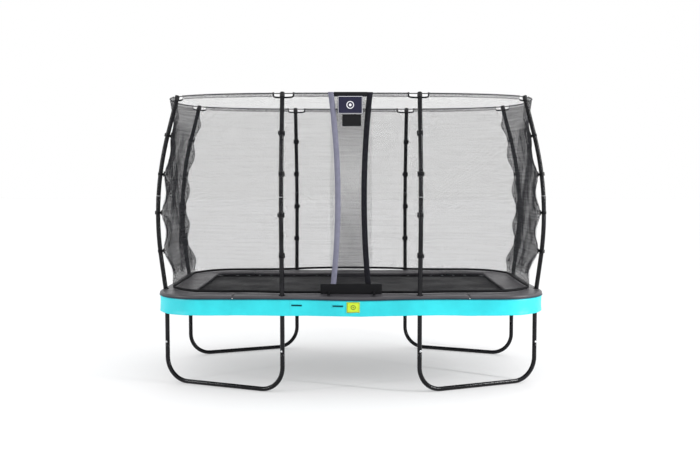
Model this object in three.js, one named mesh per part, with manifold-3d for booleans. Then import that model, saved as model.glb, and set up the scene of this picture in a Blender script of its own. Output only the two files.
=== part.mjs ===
// A rectangular garden trampoline with a safety net, in millimetres.
// +X runs along the long side, -Y is the side with the entrance, +Z is up.
// The origin is on the floor, below the centre of the mat.

import * as THREE from 'three';
import { mergeVertices } from 'three/addons/utils/BufferGeometryUtils.js';
import Module from 'manifold-3d';

const wasm = await Module();
wasm.setup();

// ---------- driving dimensions ----------

// tubes
const TUBE = 42; // outside, across the flats of the eight-sided tube
const BORE = 39; // inside of the same tube
const SPIGOT = 34; // the reduced end of a tube, which plugs into the next one
const SPIGOT_BORE = 30;
const SPIGOT_LENGTH = 80;
const SPIGOT_SHOULDER = 1; // the bevel at the step
const SPIGOT_COLLAR = 20; // how far it reaches back into its own tube
const FLATS = 8;
const FIT_GAP = 0.4; // between pieces that touch
const MERGE_DISTANCE = 1e-3; // corners nearer than this are one

// where the posts stand
const CORNER_POST = { x: 1777, y: 591 };
const SIDE_POST = { x: 628, y: 1046 };

// legs and posts
const LEG_TOP_Z = 370;
const LEG_BEND_RADIUS = 220;
const LEG_BEND_STEPS = 4;
const SLEEVE = 50; // the T sleeve round the rail, across its flats
const SLEEVE_LENGTH = 110;
const SLEEVE_BORE = 42.8;

// the frame rail
const RAIL_Z = 842;
const RAIL_CORNER_RADIUS = 400;
const RAIL_END_GAP = 2; // from a post's axis to the rail's end inside the sleeve
const CORNER_STEPS = 6;

// net poles: they lean out, bow, and lean back in
const POLE_FOOT_Z = 875;
const POLE_JOINT_Z = 1800;
const POLE_TOP_Z = 2728;
const LEAN_FROM_Z = 810; // where the pole's lower line meets its post's axis
const LEAN_OUT = 0.13;
const LEAN_IN = 0.265;
const BOW_START_Z = 1200;
const BOW_END_Z = 2400;
const POLE_STEPS = 5;

// caps and top ring
const CAP_BODY = 45; // across its flats
const CAP_SOCKET = 42.8;
const CAP_RIM = 46.2;
const CAP_SKIRT = 16; // how far a cap reaches down over its pole
const CAP_FLOOR = 4; // from the pole's end to the cap's inside
const CAP_RISE = 32; // from the pole's end to the cap's top
const CAP_CHAMFER = 6;
const RING_Z = 2745;
const RING_HALF_X = 1800;
const RING_HALF_Y = 934;
const RING_POWER = 3.12; // of the superellipse that the ring follows
const RING_ROD = 10;
const RING_CHAMFER = 0.28; // the part of the rod's width that each cut edge takes
const RING_STATIONS = 44;

// jump mat and springs
const MAT_Z = 858;
const MAT_THICKNESS = 4;
const MAT_INSET = 221; // from the rail's centre line to the mat's edge
const SPRING_WIDTH = 14;
const SPRING_PITCH = 130;
const SPRING_CORNER_DEGREES = [22.5, 45, 67.5]; // round each of the rail's corners
const SPRING_OUTER_INSET = 28; // from the rail's centre line to a spring's end
const SPRING_INNER_INSET = 212;
const RINGS_WIDTH = 10; // the row of wire rings along the mat's edge
const RINGS_GAP = 1; // from the mat's edge to the rings
const RINGS_PROUD = 1; // above the mat and below it

// padding and skirt
const PAD_BOTTOM_Z = 874;
const PAD_TOP_Z = 906;
const PAD_OVERHANG = 45; // from the rail's centre line to the skirt's outside
const PAD_INNER = { x: 1490, y: 800 };
const PAD_INNER_RADIUS = 40;
const PAD_JOINT_X = 1080;
const SKIRT_BOTTOM_Z = 721;
const SKIRT_THICKNESS = 8;
const POLE_HOLE_RADIUS = 27;
const POLE_HOLE_LENGTH = 200; // well past the padding on both sides
const POLE_HOLE_FLATS = 12;
const POLE_HOLE_SHIFT = 10.5; // outwards, because the pole leans

// net
const NET_BOTTOM_Z = 913;
const NET_TOP_Z = 2700;
const NET_THICKNESS = 8;
const NET_INSET = 36; // from a pole's axis to the net, at the straps
const NET_HEM_INSET = 75; // the same at the bottom hem
const NET_STRAP_Z = 1270; // the lowest strap
const NET_ROWS = 8;
const NET_COLUMNS = 5; // in one panel
// How far a panel stands out from the straight line between its poles, at the bottom, in
// between and at the top, and which way its fullest part leans.
const CORNER_BULGE = { bottom: 190, middle: -77, top: 85, skewBottom: 1.8, skewTop: 1.2 };
const END_BULGE = { bottom: 0, middle: -92, top: 145, skewBottom: 1, skewTop: 1 };
const LONG_BULGE = { bottom: 0, middle: -26, top: 12, skewBottom: 1, skewTop: 1 };
const NET_EDGE_GAP = 4; // from a net's end to its post
const NET_PANEL_WIDTH = 1200; // about that of each panel that ends a net

// entrance
const DOOR_BOTTOM_Z = 1012;
const DOOR_OVERLAP = 150; // how far each door reaches past the middle
const DOOR_EDGE_X = 612;
const DOOR_LAYER_GAP = 22;
const SILL_TOP_Z = 1004;
const SILL_FLAP_HALF = 282;
const SILL_FLAP_PROUD = 14;

const REACH = 2500; // past the whole trampoline, for the boxes that cut pieces apart
const POST_NAMES = ['front_left', 'front_right', 'back_left', 'back_right'];

// ---------- materials ----------

const MATERIALS = {
  steel: { color: 0x17181b, roughness: 0.32, metalness: 0.75 },
  plastic: { color: 0x141416, roughness: 0.5, metalness: 0 },
  rod: { color: 0x1b1b1e, roughness: 0.4, metalness: 0.3 },
  spring: { color: 0xb9bdc2, roughness: 0.28, metalness: 1 },
  mat: { color: 0x232325, roughness: 0.85, metalness: 0 },
  pad: { color: 0x3f3d42, roughness: 0.7, metalness: 0 },
  net: { color: 0x1a1a1c, roughness: 0.9, metalness: 0 },
  sill: { color: 0x131316, roughness: 0.85, metalness: 0 },
};

const trampoline = new THREE.Group();

function addMesh(name, geometry, material) {
  const mesh = new THREE.Mesh(geometry, new THREE.MeshStandardMaterial(MATERIALS[material]));
  mesh.name = name;
  trampoline.add(mesh);
  return mesh;
}

// ---------- solids ----------

// The same geometry with its faces sharing their corners.
function merged(geometry) {
  const bare = geometry.index ? geometry.toNonIndexed() : geometry.clone();
  bare.deleteAttribute('normal');
  bare.deleteAttribute('uv');
  return mergeVertices(bare, MERGE_DISTANCE);
}

// A closed geometry as a solid that can be joined and cut.
function solid(geometry) {
  const shared = merged(geometry);
  return new wasm.Manifold(
    new wasm.Mesh({
      numProp: 3,
      vertProperties: shared.attributes.position.array,
      triVerts: new Uint32Array(shared.index.array),
    })
  );
}

function geometryOf(manifold) {
  const mesh = manifold.getMesh();
  const geometry = new THREE.BufferGeometry();
  geometry.setAttribute('position', new THREE.BufferAttribute(mesh.vertProperties, 3));
  geometry.setIndex(new THREE.BufferAttribute(mesh.triVerts, 1));
  geometry.computeVertexNormals();
  return geometry;
}

function join(...geometries) {
  return geometries.map(solid).reduce((all, next) => all.add(next));
}

function box(minX, maxX, minY, maxY, minZ, maxZ) {
  const geometry = new THREE.BoxGeometry(maxX - minX, maxY - minY, maxZ - minZ);
  geometry.translate((minX + maxX) / 2, (minY + maxY) / 2, (minZ + maxZ) / 2);
  return geometry;
}

// ---------- tubes ----------

// A path that runs straight between its stations, so that bends get steps and straights don't.
class StationPath extends THREE.Curve {
  constructor(stations) {
    super();
    this.stations = stations;
    this.steps = stations.length - 1;
  }

  getPoint(t, target = new THREE.Vector3()) {
    const at = t * this.steps;
    const before = Math.min(Math.floor(at), this.steps - 1);
    return target.lerpVectors(this.stations[before], this.stations[before + 1], at - before);
  }

  getPointAt(u, target) {
    return this.getPoint(u, target);
  }

  getTangentAt(u, target = new THREE.Vector3()) {
    const at = Math.round(u * this.steps);
    const here = this.stations[at];
    const before = this.stations[Math.max(at - 1, 0)];
    const after = this.stations[Math.min(at + 1, this.steps)];
    const arriving = here.clone().sub(before).normalize();
    const leaving = after.clone().sub(here).normalize();
    return target.copy(arriving).add(leaving).normalize();
  }
}

// How far a pole's axis stands outwards from its post's axis at height z.
function poleBow(z) {
  if (z < BOW_START_Z) return LEAN_OUT * (z - LEAN_FROM_Z);
  const start = LEAN_OUT * (BOW_START_Z - LEAN_FROM_Z);
  const climbed = Math.min(z, BOW_END_Z) - BOW_START_Z;
  const turn = (LEAN_OUT + LEAN_IN) / (BOW_END_Z - BOW_START_Z);
  const bowed = start + LEAN_OUT * climbed - (turn * climbed * climbed) / 2;
  return bowed - LEAN_IN * Math.max(z - BOW_END_Z, 0);
}

// The axis of a net pole between two heights, bowing in the XZ plane with +X outwards.
class PolePath extends THREE.Curve {
  constructor(fromZ, toZ) {
    super();
    this.fromZ = fromZ;
    this.toZ = toZ;
  }

  getPoint(t, target = new THREE.Vector3()) {
    const z = THREE.MathUtils.lerp(this.fromZ, this.toZ, t);
    return target.set(poleBow(z), 0, z);
  }
}

function octagon(acrossFlats) {
  const radius = acrossFlats / 2 / Math.cos(Math.PI / FLATS);
  const points = [];
  for (let i = 0; i < FLATS; i++) {
    const angle = ((i + 0.5) * 2 * Math.PI) / FLATS;
    points.push(new THREE.Vector2(radius * Math.cos(angle), radius * Math.sin(angle)));
  }
  return points;
}

// An eight-sided section, hollow when it has a bore.
function section(acrossFlats, bore = 0) {
  const shape = new THREE.Shape(octagon(acrossFlats));
  if (bore > 0) shape.holes.push(new THREE.Path(octagon(bore)));
  return shape;
}

function sweep(shape, path, steps) {
  return new THREE.ExtrudeGeometry(shape, { steps, extrudePath: path, bevelEnabled: false });
}

function straight(shape, from, to) {
  return sweep(shape, new StationPath([from, to]), 1);
}

// Turns a profile of [across flats, height] pairs into an eight-sided piece round +Z.
function turned(profile) {
  const corner = 0.5 / Math.cos(Math.PI / FLATS);
  const points = profile.map(([across, z]) => new THREE.Vector2(across * corner, z));
  const piece = new THREE.LatheGeometry(points, FLATS, Math.PI / FLATS);
  piece.rotateX(Math.PI / 2); // the lathe turns about Y
  return piece;
}

// The reduced end of a tube that ends at `end`, reaching on along `direction`, which lies in
// the XZ plane. Its collar bites into the tube's wall, so that the two are one piece.
function spigot(end, direction) {
  const collar = (TUBE + BORE) / 2;
  const piece = turned([
    [SPIGOT_BORE, -SPIGOT_COLLAR],
    [collar, -SPIGOT_COLLAR],
    [collar, -1],
    [SPIGOT, -SPIGOT_SHOULDER],
    [SPIGOT, SPIGOT_LENGTH],
    [SPIGOT_BORE, SPIGOT_LENGTH],
    [SPIGOT_BORE, -SPIGOT_COLLAR],
  ]);
  piece.rotateY(Math.atan2(direction.x, direction.z));
  piece.translate(end.x, end.y, end.z);
  return piece;
}

// ---------- posts' places ----------

// Every post with its place, its name and the direction in which its pole bows.
function postPlaces() {
  const places = [];
  for (const name of POST_NAMES) {
    const x = name.endsWith('left') ? -1 : 1;
    const y = name.startsWith('front') ? -1 : 1;
    places.push({
      name: `${name}_corner`,
      x: x * CORNER_POST.x,
      y: y * CORNER_POST.y,
      outX: x,
      outY: 0,
    });
    places.push({
      name: `${name}_side`,
      x: x * SIDE_POST.x,
      y: y * SIDE_POST.y,
      outX: 0,
      outY: y,
    });
  }
  return places;
}

const POSTS = postPlaces();

function post(name) {
  return POSTS.find((place) => place.name === name);
}

// Puts a piece that was made with +X outwards at its post.
function putAtPost(mesh, place) {
  mesh.position.set(place.x, place.y, 0);
  mesh.rotation.z = Math.atan2(place.outY, place.outX);
}

// ---------- legs ----------

// A U of one bent tube between a corner post and a side post, with a spigot at each end.
function legGeometry(halfSpan) {
  const floorZ = TUBE / 2;
  const bendZ = floorZ + LEG_BEND_RADIUS;
  const bendX = halfSpan - LEG_BEND_RADIUS;
  const left = [];
  for (let i = 0; i <= LEG_BEND_STEPS; i++) {
    const angle = (i / LEG_BEND_STEPS) * (Math.PI / 2);
    const x = -bendX - LEG_BEND_RADIUS * Math.cos(angle);
    const z = bendZ - LEG_BEND_RADIUS * Math.sin(angle);
    left.push(new THREE.Vector3(x, 0, z));
  }
  const right = left.map((p) => new THREE.Vector3(-p.x, 0, p.z)).reverse();
  const leftTop = new THREE.Vector3(-halfSpan, 0, LEG_TOP_Z);
  const rightTop = new THREE.Vector3(halfSpan, 0, LEG_TOP_Z);
  const stations = [leftTop, ...left, ...right, rightTop];
  const up = new THREE.Vector3(0, 0, 1);
  const bar = sweep(section(TUBE, BORE), new StationPath(stations), stations.length - 1);
  return geometryOf(join(bar, spigot(leftTop, up), spigot(rightTop, up)));
}

function addLegs() {
  for (const name of POST_NAMES) {
    const corner = post(`${name}_corner`);
    const side = post(`${name}_side`);
    const span = Math.hypot(corner.x - side.x, corner.y - side.y);
    const leg = addMesh(`leg_${name}`, legGeometry(span / 2), 'steel');
    leg.position.set((corner.x + side.x) / 2, (corner.y + side.y) / 2, 0);
    leg.rotation.z = Math.atan2(side.y - corner.y, side.x - corner.x);
  }
}

// ---------- posts ----------

// A post: tube, T sleeve with the rail's bore along Y, and the stub that carries the pole.
function postGeometry() {
  const along = (y) => new THREE.Vector3(0, y, RAIL_Z);
  const foot = new THREE.Vector3(0, 0, LEG_TOP_Z + FIT_GAP);
  const tube = straight(section(TUBE, BORE), foot, new THREE.Vector3(0, 0, RAIL_Z));
  const sleeve = straight(section(SLEEVE), along(-SLEEVE_LENGTH / 2), along(SLEEVE_LENGTH / 2));
  const stubFoot = new THREE.Vector3(poleBow(RAIL_Z), 0, RAIL_Z);
  const stubTopZ = POLE_FOOT_Z + SPIGOT_LENGTH;
  const stubTop = new THREE.Vector3(poleBow(stubTopZ), 0, stubTopZ);
  const stub = straight(section(SPIGOT, SPIGOT_BORE), stubFoot, stubTop);
  const bore = straight(section(SLEEVE_BORE), along(-SLEEVE_LENGTH), along(SLEEVE_LENGTH));
  return geometryOf(join(tube, sleeve, stub).subtract(solid(bore)));
}

function addPosts() {
  for (const place of POSTS) {
    putAtPost(addMesh(`post_${place.name}`, postGeometry(), 'steel'), place);
  }
}

// ---------- frame rail ----------

// The rail's bent corner in the +X +Y quarter, as stations in the plane of the rail.
function cornerStations() {
  const centreX = CORNER_POST.x - RAIL_CORNER_RADIUS;
  const centreY = SIDE_POST.y - RAIL_CORNER_RADIUS;
  const stations = [new THREE.Vector3(SIDE_POST.x + RAIL_END_GAP, SIDE_POST.y, 0)];
  for (let i = 0; i <= CORNER_STEPS; i++) {
    const angle = (1 - i / CORNER_STEPS) * (Math.PI / 2);
    const x = centreX + RAIL_CORNER_RADIUS * Math.cos(angle);
    const y = centreY + RAIL_CORNER_RADIUS * Math.sin(angle);
    stations.push(new THREE.Vector3(x, y, 0));
  }
  stations.push(new THREE.Vector3(CORNER_POST.x, CORNER_POST.y + RAIL_END_GAP, 0));
  return stations;
}

function addRail(name, stations) {
  const path = new StationPath(stations);
  const rail = addMesh(`rail_${name}`, sweep(section(TUBE, BORE), path, path.steps), 'steel');
  rail.position.z = RAIL_Z;
}

function addRails() {
  const longHalf = SIDE_POST.x - RAIL_END_GAP;
  const endHalf = CORNER_POST.y - RAIL_END_GAP;
  const flat = (x, y) => new THREE.Vector3(x, y, 0);
  for (const [name, y] of [['front', -SIDE_POST.y], ['back', SIDE_POST.y]]) {
    addRail(name, [flat(-longHalf, y), flat(longHalf, y)]);
  }
  for (const [name, x] of [['left', -CORNER_POST.x], ['right', CORNER_POST.x]]) {
    addRail(name, [flat(x, -endHalf), flat(x, endHalf)]);
  }
  for (const name of POST_NAMES) {
    const x = name.endsWith('left') ? -1 : 1;
    const y = name.startsWith('front') ? -1 : 1;
    addRail(`corner_${name}`, cornerStations().map((p) => flat(x * p.x, y * p.y)));
  }
}

// ---------- net poles ----------

function lowerPoleGeometry() {
  return sweep(section(TUBE, BORE), new PolePath(POLE_FOOT_Z, POLE_JOINT_Z), POLE_STEPS);
}

function upperPoleGeometry() {
  const path = new PolePath(POLE_JOINT_Z + FIT_GAP, POLE_TOP_Z);
  const tube = sweep(section(TUBE, BORE), path, POLE_STEPS);
  return geometryOf(join(tube, spigot(path.getPoint(0), path.getTangent(0).negate())));
}

function addPoles() {
  for (const place of POSTS) {
    putAtPost(addMesh(`pole_lower_${place.name}`, lowerPoleGeometry(), 'steel'), place);
    putAtPost(addMesh(`pole_upper_${place.name}`, upperPoleGeometry(), 'steel'), place);
  }
}

// ---------- top ring and caps ----------

function ringPoint(angle, grow) {
  const power = 2 / RING_POWER;
  const c = Math.cos(angle);
  const s = Math.sin(angle);
  return new THREE.Vector2(
    Math.sign(c) * (RING_HALF_X + grow) * Math.abs(c) ** power,
    Math.sign(s) * (RING_HALF_Y + grow) * Math.abs(s) ** power
  );
}

// The ring's rod, `thick` deep and wide, with its edges cut back to an eight-sided section.
function ringGeometry(thick) {
  const chamfer = thick * RING_CHAMFER;
  const half = thick / 2 - chamfer;
  const outline = (grow) => {
    const points = [];
    for (let i = 0; i < RING_STATIONS; i++) {
      points.push(ringPoint((i / RING_STATIONS) * 2 * Math.PI, grow));
    }
    return points;
  };
  const shape = new THREE.Shape(outline(half));
  shape.holes.push(new THREE.Path(outline(-half)));
  const geometry = new THREE.ExtrudeGeometry(shape, {
    depth: 2 * half,
    bevelThickness: chamfer,
    bevelSize: chamfer,
    bevelSegments: 1,
  });
  geometry.translate(0, 0, RING_Z - half);
  return geometry;
}

// A cap that sits over a pole's top end, leaning as the pole leans.
function capGeometry(place) {
  const cap = turned([
    [0, CAP_FLOOR],
    [CAP_SOCKET, CAP_FLOOR],
    [CAP_SOCKET, -CAP_SKIRT],
    [CAP_RIM, -CAP_SKIRT],
    [CAP_RIM, 0],
    [CAP_BODY, CAP_CHAMFER / 2],
    [CAP_BODY, CAP_RISE - CAP_CHAMFER],
    [CAP_BODY - 2 * CAP_CHAMFER, CAP_RISE],
    [0, CAP_RISE],
  ]);
  cap.rotateY(-Math.atan(LEAN_IN));
  cap.translate(poleBow(POLE_TOP_Z), 0, POLE_TOP_Z);
  cap.rotateZ(Math.atan2(place.outY, place.outX));
  cap.translate(place.x, place.y, 0);
  return cap;
}

function addRingAndCaps() {
  addMesh('top_ring', ringGeometry(RING_ROD), 'rod');
  const channel = solid(ringGeometry(RING_ROD + 2 * FIT_GAP));
  for (const place of POSTS) {
    const cap = solid(capGeometry(place)).subtract(channel);
    addMesh(`cap_${place.name}`, geometryOf(cap), 'plastic');
  }
}

// ---------- flat outlines ----------

// A rectangle with round corners, `halfX` by `halfY`.
function roundedRectangle(Kind, halfX, halfY, radius) {
  const outline = new Kind();
  const x = halfX - radius;
  const y = halfY - radius;
  outline.absarc(x, y, radius, 0, Math.PI / 2);
  outline.absarc(-x, y, radius, Math.PI / 2, Math.PI);
  outline.absarc(-x, -y, radius, Math.PI, 1.5 * Math.PI);
  outline.absarc(x, -y, radius, 1.5 * Math.PI, 2 * Math.PI);
  outline.closePath();
  return outline;
}

// The rail's outline, moved out by `offset`.
function railOutline(Kind, offset) {
  const halfX = CORNER_POST.x + offset;
  const halfY = SIDE_POST.y + offset;
  return roundedRectangle(Kind, halfX, halfY, RAIL_CORNER_RADIUS + offset);
}

function slab(shape, fromZ, toZ) {
  const geometry = new THREE.ExtrudeGeometry(shape, {
    depth: toZ - fromZ,
    bevelEnabled: false,
    curveSegments: CORNER_STEPS,
  });
  geometry.translate(0, 0, fromZ);
  return geometry;
}

function ringSlab(outer, inner, fromZ, toZ) {
  outer.holes.push(inner);
  return slab(outer, fromZ, toZ);
}

// ---------- jump mat ----------

function addMat() {
  const sheet = slab(railOutline(THREE.Shape, -MAT_INSET), MAT_Z, MAT_Z + MAT_THICKNESS);
  addMesh('jump_mat', sheet, 'mat');
}

// ---------- springs ----------

// Points and outward directions along the rail's outline, from the middle of one side to
// the middle of the next, where the springs lie.
function springPlaces() {
  const straightX = CORNER_POST.x - RAIL_CORNER_RADIUS;
  const straightY = SIDE_POST.y - RAIL_CORNER_RADIUS;
  const places = { long: [], end: [] };
  const perLong = Math.floor((2 * straightX - 2 * SPRING_WIDTH) / SPRING_PITCH);
  for (let i = 0; i <= perLong; i++) {
    const x = (i - perLong / 2) * SPRING_PITCH;
    places.long.push({ x, y: SIDE_POST.y, angle: Math.PI / 2 });
  }
  const perEnd = Math.floor((2 * straightY - 2 * SPRING_WIDTH) / SPRING_PITCH);
  for (let i = 0; i <= perEnd; i++) {
    const y = (i - perEnd / 2) * SPRING_PITCH;
    places.end.push({ x: CORNER_POST.x, y, angle: 0 });
  }
  for (const side of [-1, 1]) {
    for (const degrees of SPRING_CORNER_DEGREES) {
      const angle = side * THREE.MathUtils.degToRad(degrees);
      const x = straightX + RAIL_CORNER_RADIUS * Math.cos(angle);
      const y = side * straightY + RAIL_CORNER_RADIUS * Math.sin(angle);
      places.end.push({ x, y, angle });
    }
  }
  return places;
}

// One bank of springs, held together by the row of wire rings along the mat's edge.
function springBank(places, rings) {
  const z = MAT_Z + MAT_THICKNESS / 2;
  let bank = rings;
  for (const { x, y, angle } of places) {
    const length = SPRING_INNER_INSET - SPRING_OUTER_INSET;
    const spring = new THREE.BoxGeometry(length, SPRING_WIDTH, SPRING_WIDTH);
    spring.translate(-(SPRING_INNER_INSET + SPRING_OUTER_INSET) / 2, 0, z);
    spring.rotateZ(angle);
    spring.translate(x, y, 0);
    bank = bank.add(solid(spring));
  }
  return bank;
}

// The wire rings of the whole mat, of which each bank takes its own stretch.
function ringStrip() {
  const inner = -MAT_INSET + RINGS_GAP;
  const strip = ringSlab(
    railOutline(THREE.Shape, inner + RINGS_WIDTH),
    railOutline(THREE.Path, inner),
    MAT_Z - RINGS_PROUD,
    MAT_Z + MAT_THICKNESS + RINGS_PROUD
  );
  return solid(strip);
}

function addSprings() {
  const straightX = CORNER_POST.x - RAIL_CORNER_RADIUS;
  const strip = ringStrip();
  const { long, end } = springPlaces();
  const longBox = solid(box(-straightX, straightX, 0, REACH, 0, REACH));
  const back = springBank(long, strip.intersect(longBox));
  const endBox = solid(box(straightX + FIT_GAP, REACH, -REACH, REACH, 0, REACH));
  const right = springBank(end, strip.intersect(endBox));
  addMesh('springs_back', geometryOf(back), 'spring');
  addMesh('springs_right', geometryOf(right), 'spring');
  addMesh('springs_front', geometryOf(back), 'spring').rotation.z = Math.PI;
  addMesh('springs_left', geometryOf(right), 'spring').rotation.z = Math.PI;
}

// ---------- padding and skirt ----------

function poleHole(place) {
  const hole = new THREE.CylinderGeometry(
    POLE_HOLE_RADIUS,
    POLE_HOLE_RADIUS,
    POLE_HOLE_LENGTH,
    POLE_HOLE_FLATS
  );
  hole.rotateX(Math.PI / 2);
  const x = place.x + place.outX * POLE_HOLE_SHIFT;
  const y = place.y + place.outY * POLE_HOLE_SHIFT;
  hole.translate(x, y, PAD_TOP_Z);
  return hole;
}

function addPads() {
  const inner = roundedRectangle(THREE.Path, PAD_INNER.x, PAD_INNER.y, PAD_INNER_RADIUS);
  const top = ringSlab(railOutline(THREE.Shape, PAD_OVERHANG), inner, PAD_BOTTOM_Z, PAD_TOP_Z);
  const skirt = ringSlab(
    railOutline(THREE.Shape, PAD_OVERHANG),
    railOutline(THREE.Path, PAD_OVERHANG - SKIRT_THICKNESS),
    SKIRT_BOTTOM_Z,
    PAD_BOTTOM_Z
  );
  let pad = join(top, skirt);
  for (const place of POSTS) pad = pad.subtract(solid(poleHole(place)));
  const inside = PAD_JOINT_X - FIT_GAP;
  const outside = PAD_JOINT_X + FIT_GAP;
  const sections = {
    front: box(-inside, inside, -REACH, 0, 0, REACH),
    back: box(-inside, inside, 0, REACH, 0, REACH),
    left: box(-REACH, -outside, -REACH, REACH, 0, REACH),
    right: box(outside, REACH, -REACH, REACH, 0, REACH),
  };
  for (const [name, limits] of Object.entries(sections)) {
    addMesh(`pad_${name}`, geometryOf(pad.intersect(solid(limits))), 'pad');
  }
}

// ---------- net ----------

// How far inside a pole's axis the net hangs at height z.
function netInset(z) {
  const fromHem = THREE.MathUtils.smoothstep(z, NET_BOTTOM_Z, NET_STRAP_Z);
  return THREE.MathUtils.lerp(NET_HEM_INSET, NET_INSET, fromHem);
}

// The net's place at a post, at height z.
function netAtPost(place, z) {
  const out = poleBow(z) - netInset(z);
  return new THREE.Vector2(place.x + place.outX * out, place.y + place.outY * out);
}

// How far along Y a corner post's point moves for each millimetre along X, so that a sheet
// keeps its thickness on both of the panels that meet there.
function cornerMitre() {
  const normal = new THREE.Vector2(SIDE_POST.y - CORNER_POST.y, CORNER_POST.x - SIDE_POST.x);
  normal.normalize();
  return (1 - normal.x) / normal.y;
}

const CORNER_MITRE = cornerMitre();

// The step by which a sheet's face at a post stands `proud` of the sheet's middle.
function proudStep(place, normal, proud) {
  if (place.outX === 0) return normal.clone().multiplyScalar(proud);
  return new THREE.Vector2(place.outX, Math.sign(place.y) * CORNER_MITRE).multiplyScalar(proud);
}

// A panel between two posts, counter-clockwise seen from above: the point a share t along.
function panelPoint(from, to, bulge, t, z, proud) {
  const a = netAtPost(from, z);
  const b = netAtPost(to, z);
  const rise = (z - NET_BOTTOM_Z) / (NET_TOP_Z - NET_BOTTOM_Z);
  const fall = 1 - rise;
  const depth =
    bulge.bottom * fall * fall + 2 * bulge.middle * rise * fall + bulge.top * rise * rise;
  const skew = THREE.MathUtils.lerp(bulge.skewBottom, bulge.skewTop, rise);
  // The fullest part of a corner panel is nearer its corner post.
  const share = from.outX !== 0 && to.outX === 0 ? 1 - (1 - t) ** skew : t ** skew;
  const along = b.clone().sub(a).normalize();
  const normal = new THREE.Vector2(along.y, -along.x);
  a.add(proudStep(from, normal, proud));
  b.add(proudStep(to, normal, proud));
  const point = a.lerp(b, t).addScaledVector(normal, depth * Math.sin(Math.PI * share));
  return new THREE.Vector3(point.x, point.y, z);
}

// A thin closed sheet over a run of panels, from `fromU` to `toU` panels along the run.
function netSheet({ run, fromU, toU, fromZ, toZ, proud = 0, thickness = NET_THICKNESS }) {
  const columns = Math.round((toU - fromU) * NET_COLUMNS);
  const rows = Math.max(1, Math.round((NET_ROWS * (toZ - fromZ)) / (NET_TOP_Z - NET_BOTTOM_Z)));
  const sheet = merged(new THREE.BoxGeometry(1, 1, 1, columns, rows, 1));
  const position = sheet.attributes.position;
  for (let i = 0; i < position.count; i++) {
    const u = THREE.MathUtils.lerp(fromU, toU, position.getX(i) + 0.5);
    const z = THREE.MathUtils.lerp(fromZ, toZ, position.getY(i) + 0.5);
    const panel = Math.min(Math.floor(u), run.length - 1);
    const { from, to, bulge } = run[panel];
    const out = proud + thickness * position.getZ(i);
    const point = panelPoint(from, to, bulge, u - panel, z, out);
    position.setXYZ(i, point.x, point.y, point.z);
  }
  sheet.computeVertexNormals();
  return sheet;
}

function panelRun(names, bulges) {
  return bulges.map((bulge, i) => ({ from: post(names[i]), to: post(names[i + 1]), bulge }));
}

const RIGHT_RUN = panelRun(
  ['front_right_side', 'front_right_corner', 'back_right_corner', 'back_right_side'],
  [CORNER_BULGE, END_BULGE, CORNER_BULGE]
);
const BACK_RUN = panelRun(['back_right_side', 'back_left_side'], [LONG_BULGE]);
const FRONT_RUN = panelRun(['front_left_side', 'front_right_side'], [LONG_BULGE]);

// A net over a whole run of panels, a little short of its neighbours at both ends.
function wholeNet(run) {
  const edge = NET_EDGE_GAP / NET_PANEL_WIDTH;
  const toU = run.length - edge;
  return netSheet({ run, fromU: edge, toU, fromZ: NET_BOTTOM_Z, toZ: NET_TOP_Z });
}

function addNets() {
  addMesh('net_right', wholeNet(RIGHT_RUN), 'net');
  addMesh('net_left', wholeNet(RIGHT_RUN), 'net').rotation.z = Math.PI;
  addMesh('net_back', wholeNet(BACK_RUN), 'net');
}

// ---------- entrance ----------

// The share of the front panel at which a vertical edge stands at x.
function frontShare(x) {
  return (x + SIDE_POST.x) / (2 * SIDE_POST.x);
}

function addDoors() {
  const door = { run: FRONT_RUN, fromZ: DOOR_BOTTOM_Z, toZ: NET_TOP_Z };
  const inner = netSheet({
    ...door,
    fromU: frontShare(-DOOR_EDGE_X),
    toU: frontShare(DOOR_OVERLAP),
    proud: -DOOR_LAYER_GAP,
  });
  const outer = netSheet({
    ...door,
    fromU: frontShare(-DOOR_OVERLAP),
    toU: frontShare(DOOR_EDGE_X),
  });
  addMesh('door_left', inner, 'net');
  addMesh('door_right', outer, 'net');
}

function addSill() {
  const strip = netSheet({
    run: FRONT_RUN,
    fromU: frontShare(-DOOR_EDGE_X),
    toU: frontShare(DOOR_EDGE_X),
    fromZ: NET_BOTTOM_Z,
    toZ: SILL_TOP_Z,
  });
  const flap = netSheet({
    run: FRONT_RUN,
    fromU: frontShare(-SILL_FLAP_HALF),
    toU: frontShare(SILL_FLAP_HALF),
    fromZ: NET_BOTTOM_Z,
    toZ: SILL_TOP_Z,
    proud: SILL_FLAP_PROUD / 2,
    thickness: SILL_FLAP_PROUD,
  });
  addMesh('entry_sill', geometryOf(join(strip, flap)), 'sill');
}

addLegs();
addPosts();
addRails();
addPoles();
addRingAndCaps();
addMat();
addSprings();
addPads();
addNets();
addDoors();
addSill();

export default trampoline;
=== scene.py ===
import math

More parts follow.
